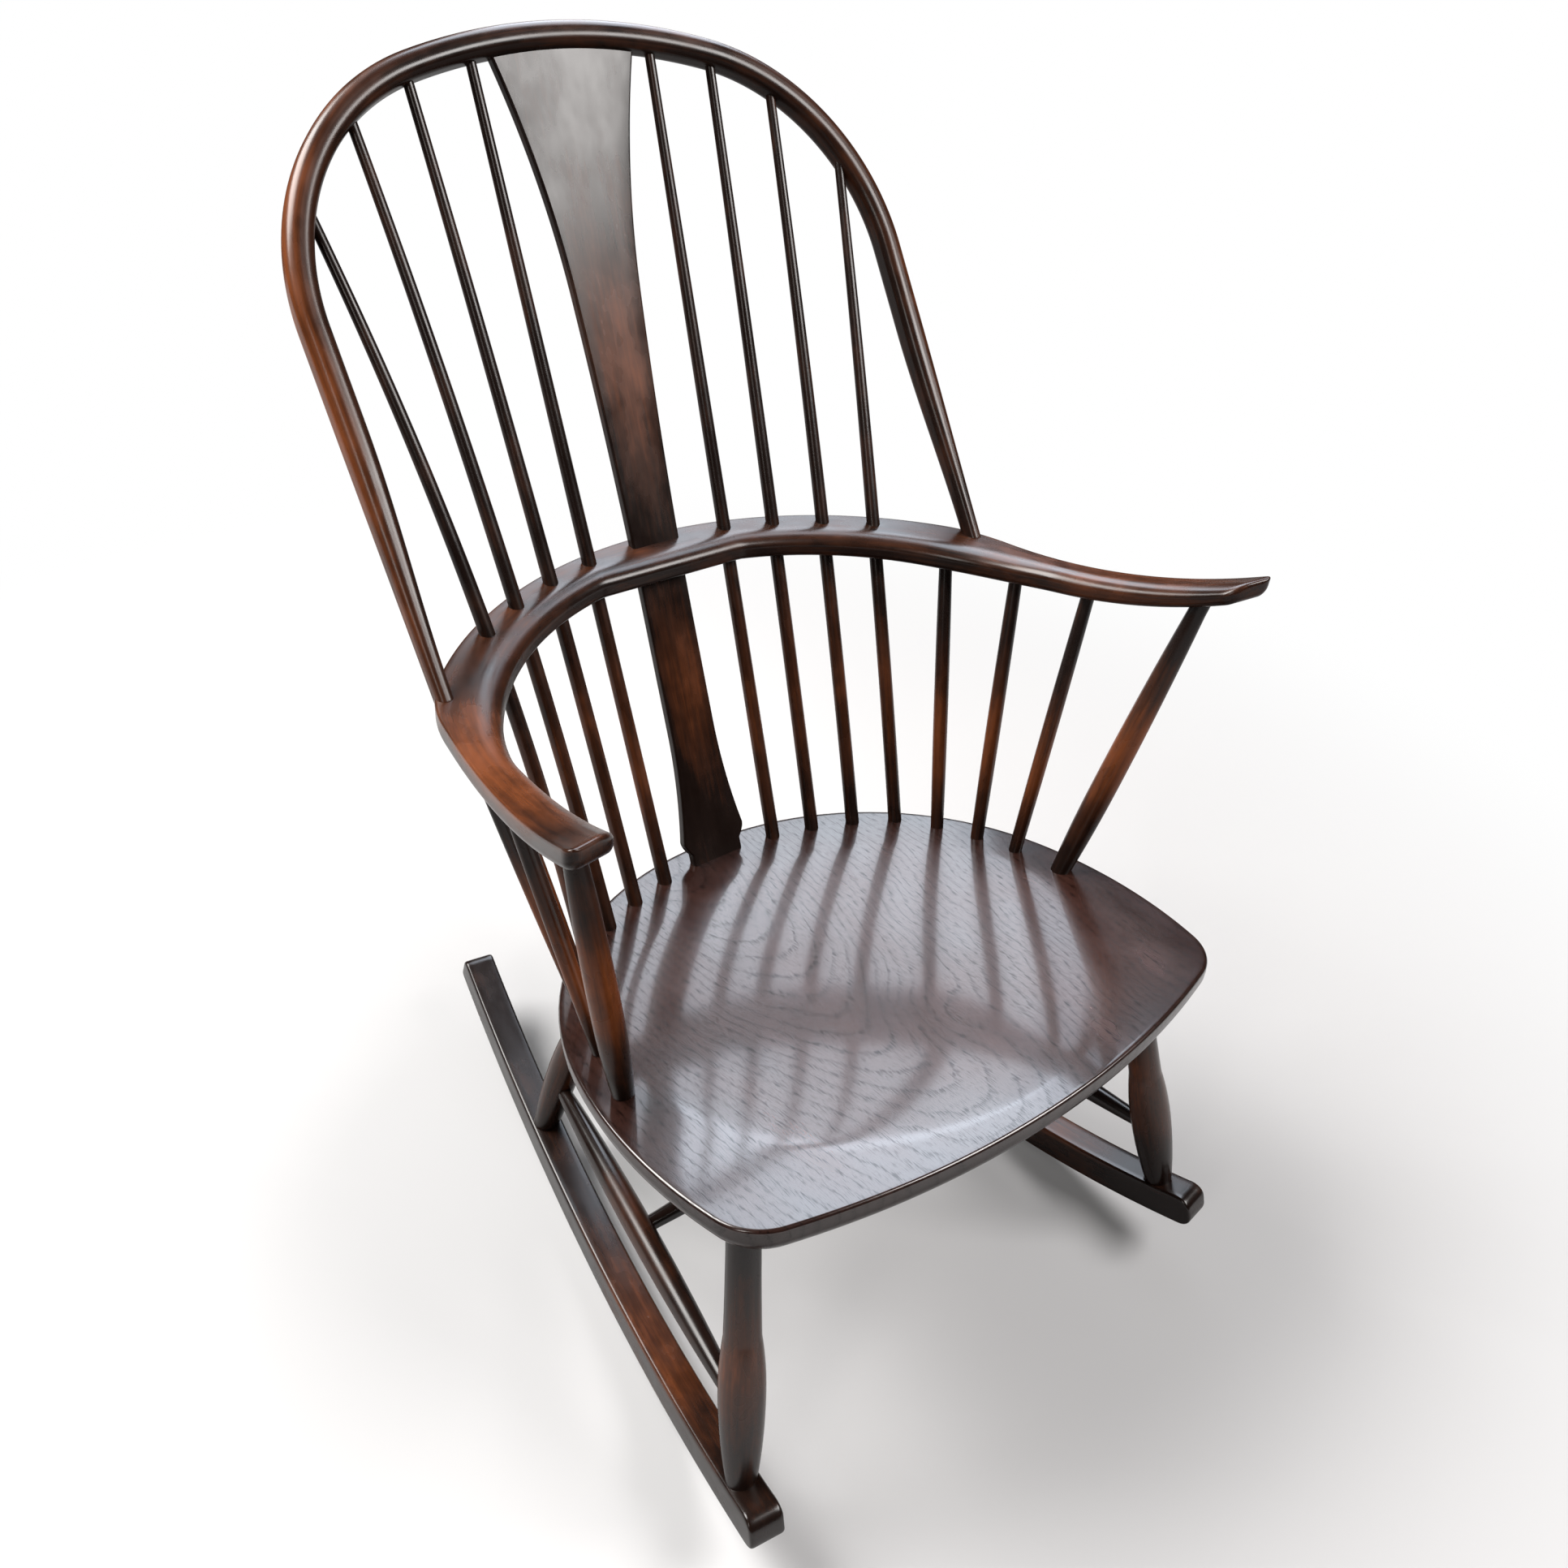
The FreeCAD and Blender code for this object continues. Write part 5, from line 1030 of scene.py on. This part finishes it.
def shown(tree):
    """Whether a ray comes from the camera, a gloss or a glass: these see the white surround."""
    rays = node(tree, "ShaderNodeLightPath").outputs
    shine = node(tree, MATH, rays["Is Glossy Ray"], rays["Is Transmission Ray"],
                 operation="MAXIMUM")
    return node(tree, MATH, rays["Is Camera Ray"], shine, operation="MAXIMUM")


def stand(thing, place, ways):
    """Puts a lamp or camera in the scene, with its right, up and back ways."""
    matrix = np.eye(4)
    matrix[:3, :3], matrix[:3, 3] = ways.T, place
    thing.matrix_world = Matrix(matrix.tolist())
    bpy.context.scene.collection.objects.link(thing)


def area_lamp(name, place, aim, wide, high, power, colour, only_shine):
    """An area lamp turned to its aim. One that only shines is seen in the lacquer and lights
    nothing else, as a window far behind a lit backdrop does."""
    lamp = bpy.data.lights.new(name, "AREA")
    lamp.shape, lamp.size, lamp.size_y = "RECTANGLE", wide, high
    lamp.energy, lamp.color = power, colour
    thing = bpy.data.objects.new(name, lamp)
    back = unit(np.array(place, float) - np.array(aim, float))
    right = unit(np.cross([0, 0, 1], back))
    stand(thing, place, np.stack([right, np.cross(back, right), back]))
    thing.visible_diffuse = not only_shine


def backdrop(name, low, high, material):
    """A flat stage sheet between two opposite corners, which share one of their coordinates."""
    low, high = np.array(low, float), np.array(high, float)
    turned = np.flatnonzero(low != high)[0]
    second, fourth = low.copy(), high.copy()
    second[turned], fourth[turned] = high[turned], low[turned]
    mesh = bpy.data.meshes.new(name)
    mesh.from_pydata([spot.tolist() for spot in (low, second, high, fourth)], [], [(0, 1, 2, 3)])
    mesh.materials.append(material)
    piece = bpy.data.objects.new(name, mesh)
    bpy.context.scene.collection.objects.link(piece)


def matt_white_floor():
    """Matt white paint that is lifted to full white for the camera, more so further from the
    chair, and keeps the chair's shadow."""
    paint, tree = blank_material("matt_white_floor")
    diffuse = node(tree, "ShaderNodeBsdfDiffuse", {"Color": (0.62, 0.62, 0.63, 1)})
    white = node(tree, "ShaderNodeEmission", {"Color": (1, 1, 1, 1), "Strength": 1.0})
    away = node(tree, "ShaderNodeVectorMath", node(tree, "ShaderNodeTexCoord").outputs["Object"],
                operation="LENGTH").outputs["Value"]
    lift = node(tree, "ShaderNodeMapRange", {"Value": away, "From Min": 0.65, "From Max": 1.45,
                                             "To Min": 0.08, "To Max": 1.0},
                interpolation_type="SMOOTHSTEP")
    seen = node(tree, MATH, shown(tree), lift, operation="MULTIPLY")
    mixed = node(tree, "ShaderNodeMixShader", seen, diffuse, white)
    node(tree, "ShaderNodeOutputMaterial", mixed)
    return paint


def black_cloth():
    """Matt black cloth, which the eye meets only in the lacquer's reflections: it darkens what
    the lacquer mirrors, and the camera looks through it."""
    cloth, tree = blank_material("black_cloth_flag")
    black = node(tree, "ShaderNodeBsdfDiffuse", {"Color": (0.03, 0.03, 0.03, 1)})
    clear = node(tree, "ShaderNodeBsdfTransparent")
    seen = node(tree, "ShaderNodeLightPath").outputs["Is Camera Ray"]
    node(tree, "ShaderNodeOutputMaterial", node(tree, "ShaderNodeMixShader", seen, black, clear))
    return cloth


class ROCKER_OT_stage(bpy.types.Operator):
    """Sets the pale floor, the white surround, the soft lamps, the black flags and the camera."""
    bl_idname = "rocker.stage"
    bl_label = "Stage"

    def execute(self, context):
        scene = context.scene
        scene.view_settings.view_transform = "Standard"
        backdrop("floor", (-6, -6, 0), (6, 6, 0), matt_white_floor())

        scene.world = bpy.data.worlds.new("white_surround")
        scene.world.use_nodes = True
        tree = scene.world.node_tree
        tree.nodes.clear()
        # A faint cool surround lights the chair, and the camera and the lacquer see it as white
        dim = node(tree, "ShaderNodeBackground", {"Color": (0.93, 0.96, 1.0, 1), "Strength": 0.55})
        full = node(tree, "ShaderNodeBackground", {"Color": (1, 1, 1, 1), "Strength": 1.0})
        mixed = node(tree, "ShaderNodeMixShader", shown(tree), dim, full)
        node(tree, "ShaderNodeOutputWorld", mixed)

        for lamp in LAMPS:
            area_lamp(*lamp)
        cloth = black_cloth()
        for name, low, high in FLAGS:
            backdrop(name, low, high, cloth)

        lens = bpy.data.cameras.new("camera")
        lens.lens, lens.sensor_width = 32.0, 36.0
        lens.shift_x, lens.shift_y = -0.0026, -0.0154
        lens.clip_start, lens.clip_end = 0.05, 60.0
        scene.camera = bpy.data.objects.new("camera", lens)
        # The eye and its right, up and back ways are measured from the chair's own frame
        eye = np.array((-0.6328, -0.7293, 1.1589))
        ways = np.array([(0.7877, -0.6105, 0.0830), (0.3063, 0.5049, 0.8070),
                         (-0.5345, -0.6102, 0.5847)])
        stood = placed(np.concatenate([[eye], eye + ways]), scene.chair_sizes)
        stand(scene.camera, stood[0], stood[1:] - stood[0])
        return {"FINISHED"}


STEPS = (ROCKER_OT_seat, ROCKER_OT_arm_bow, ROCKER_OT_hoop, ROCKER_OT_splat,
         ROCKER_OT_back_spindles, ROCKER_OT_arm_spindles, ROCKER_OT_arm_posts, ROCKER_OT_legs,
         ROCKER_OT_stretchers, ROCKER_OT_rockers, ROCKER_OT_stage)


class ROCKER_PT_panel(bpy.types.Panel):
    """Lists the chair's pieces in the order that they are made."""
    bl_idname = "ROCKER_PT_panel"
    bl_label = "Hoop back rocker"
    bl_space_type = "VIEW_3D"
    bl_region_type = "UI"
    bl_category = "Rocker"

    def draw(self, context):
        for step in STEPS:
            self.layout.operator(step.bl_idname)
        for group in (context.scene.chair_sizes, context.scene.chair_finish):
            for key in type(group).__annotations__:
                self.layout.prop(group, key)


CLASSES = (ChairSizes, ChairFinish, *STEPS, ROCKER_PT_panel)


def register():
    for each in CLASSES:
        bpy.utils.register_class(each)
    bpy.types.Scene.chair_sizes = bpy.props.PointerProperty(type=ChairSizes)
    bpy.types.Scene.chair_finish = bpy.props.PointerProperty(type=ChairFinish)


def unregister():
    del bpy.types.Scene.chair_finish
    del bpy.types.Scene.chair_sizes
    for each in reversed(CLASSES):
        bpy.utils.unregister_class(each)


def main():
    register()
    for step in STEPS:
        family, name = step.bl_idname.split(".")
        getattr(getattr(bpy.ops, family), name)()


if __name__ == "__main__":
    main()
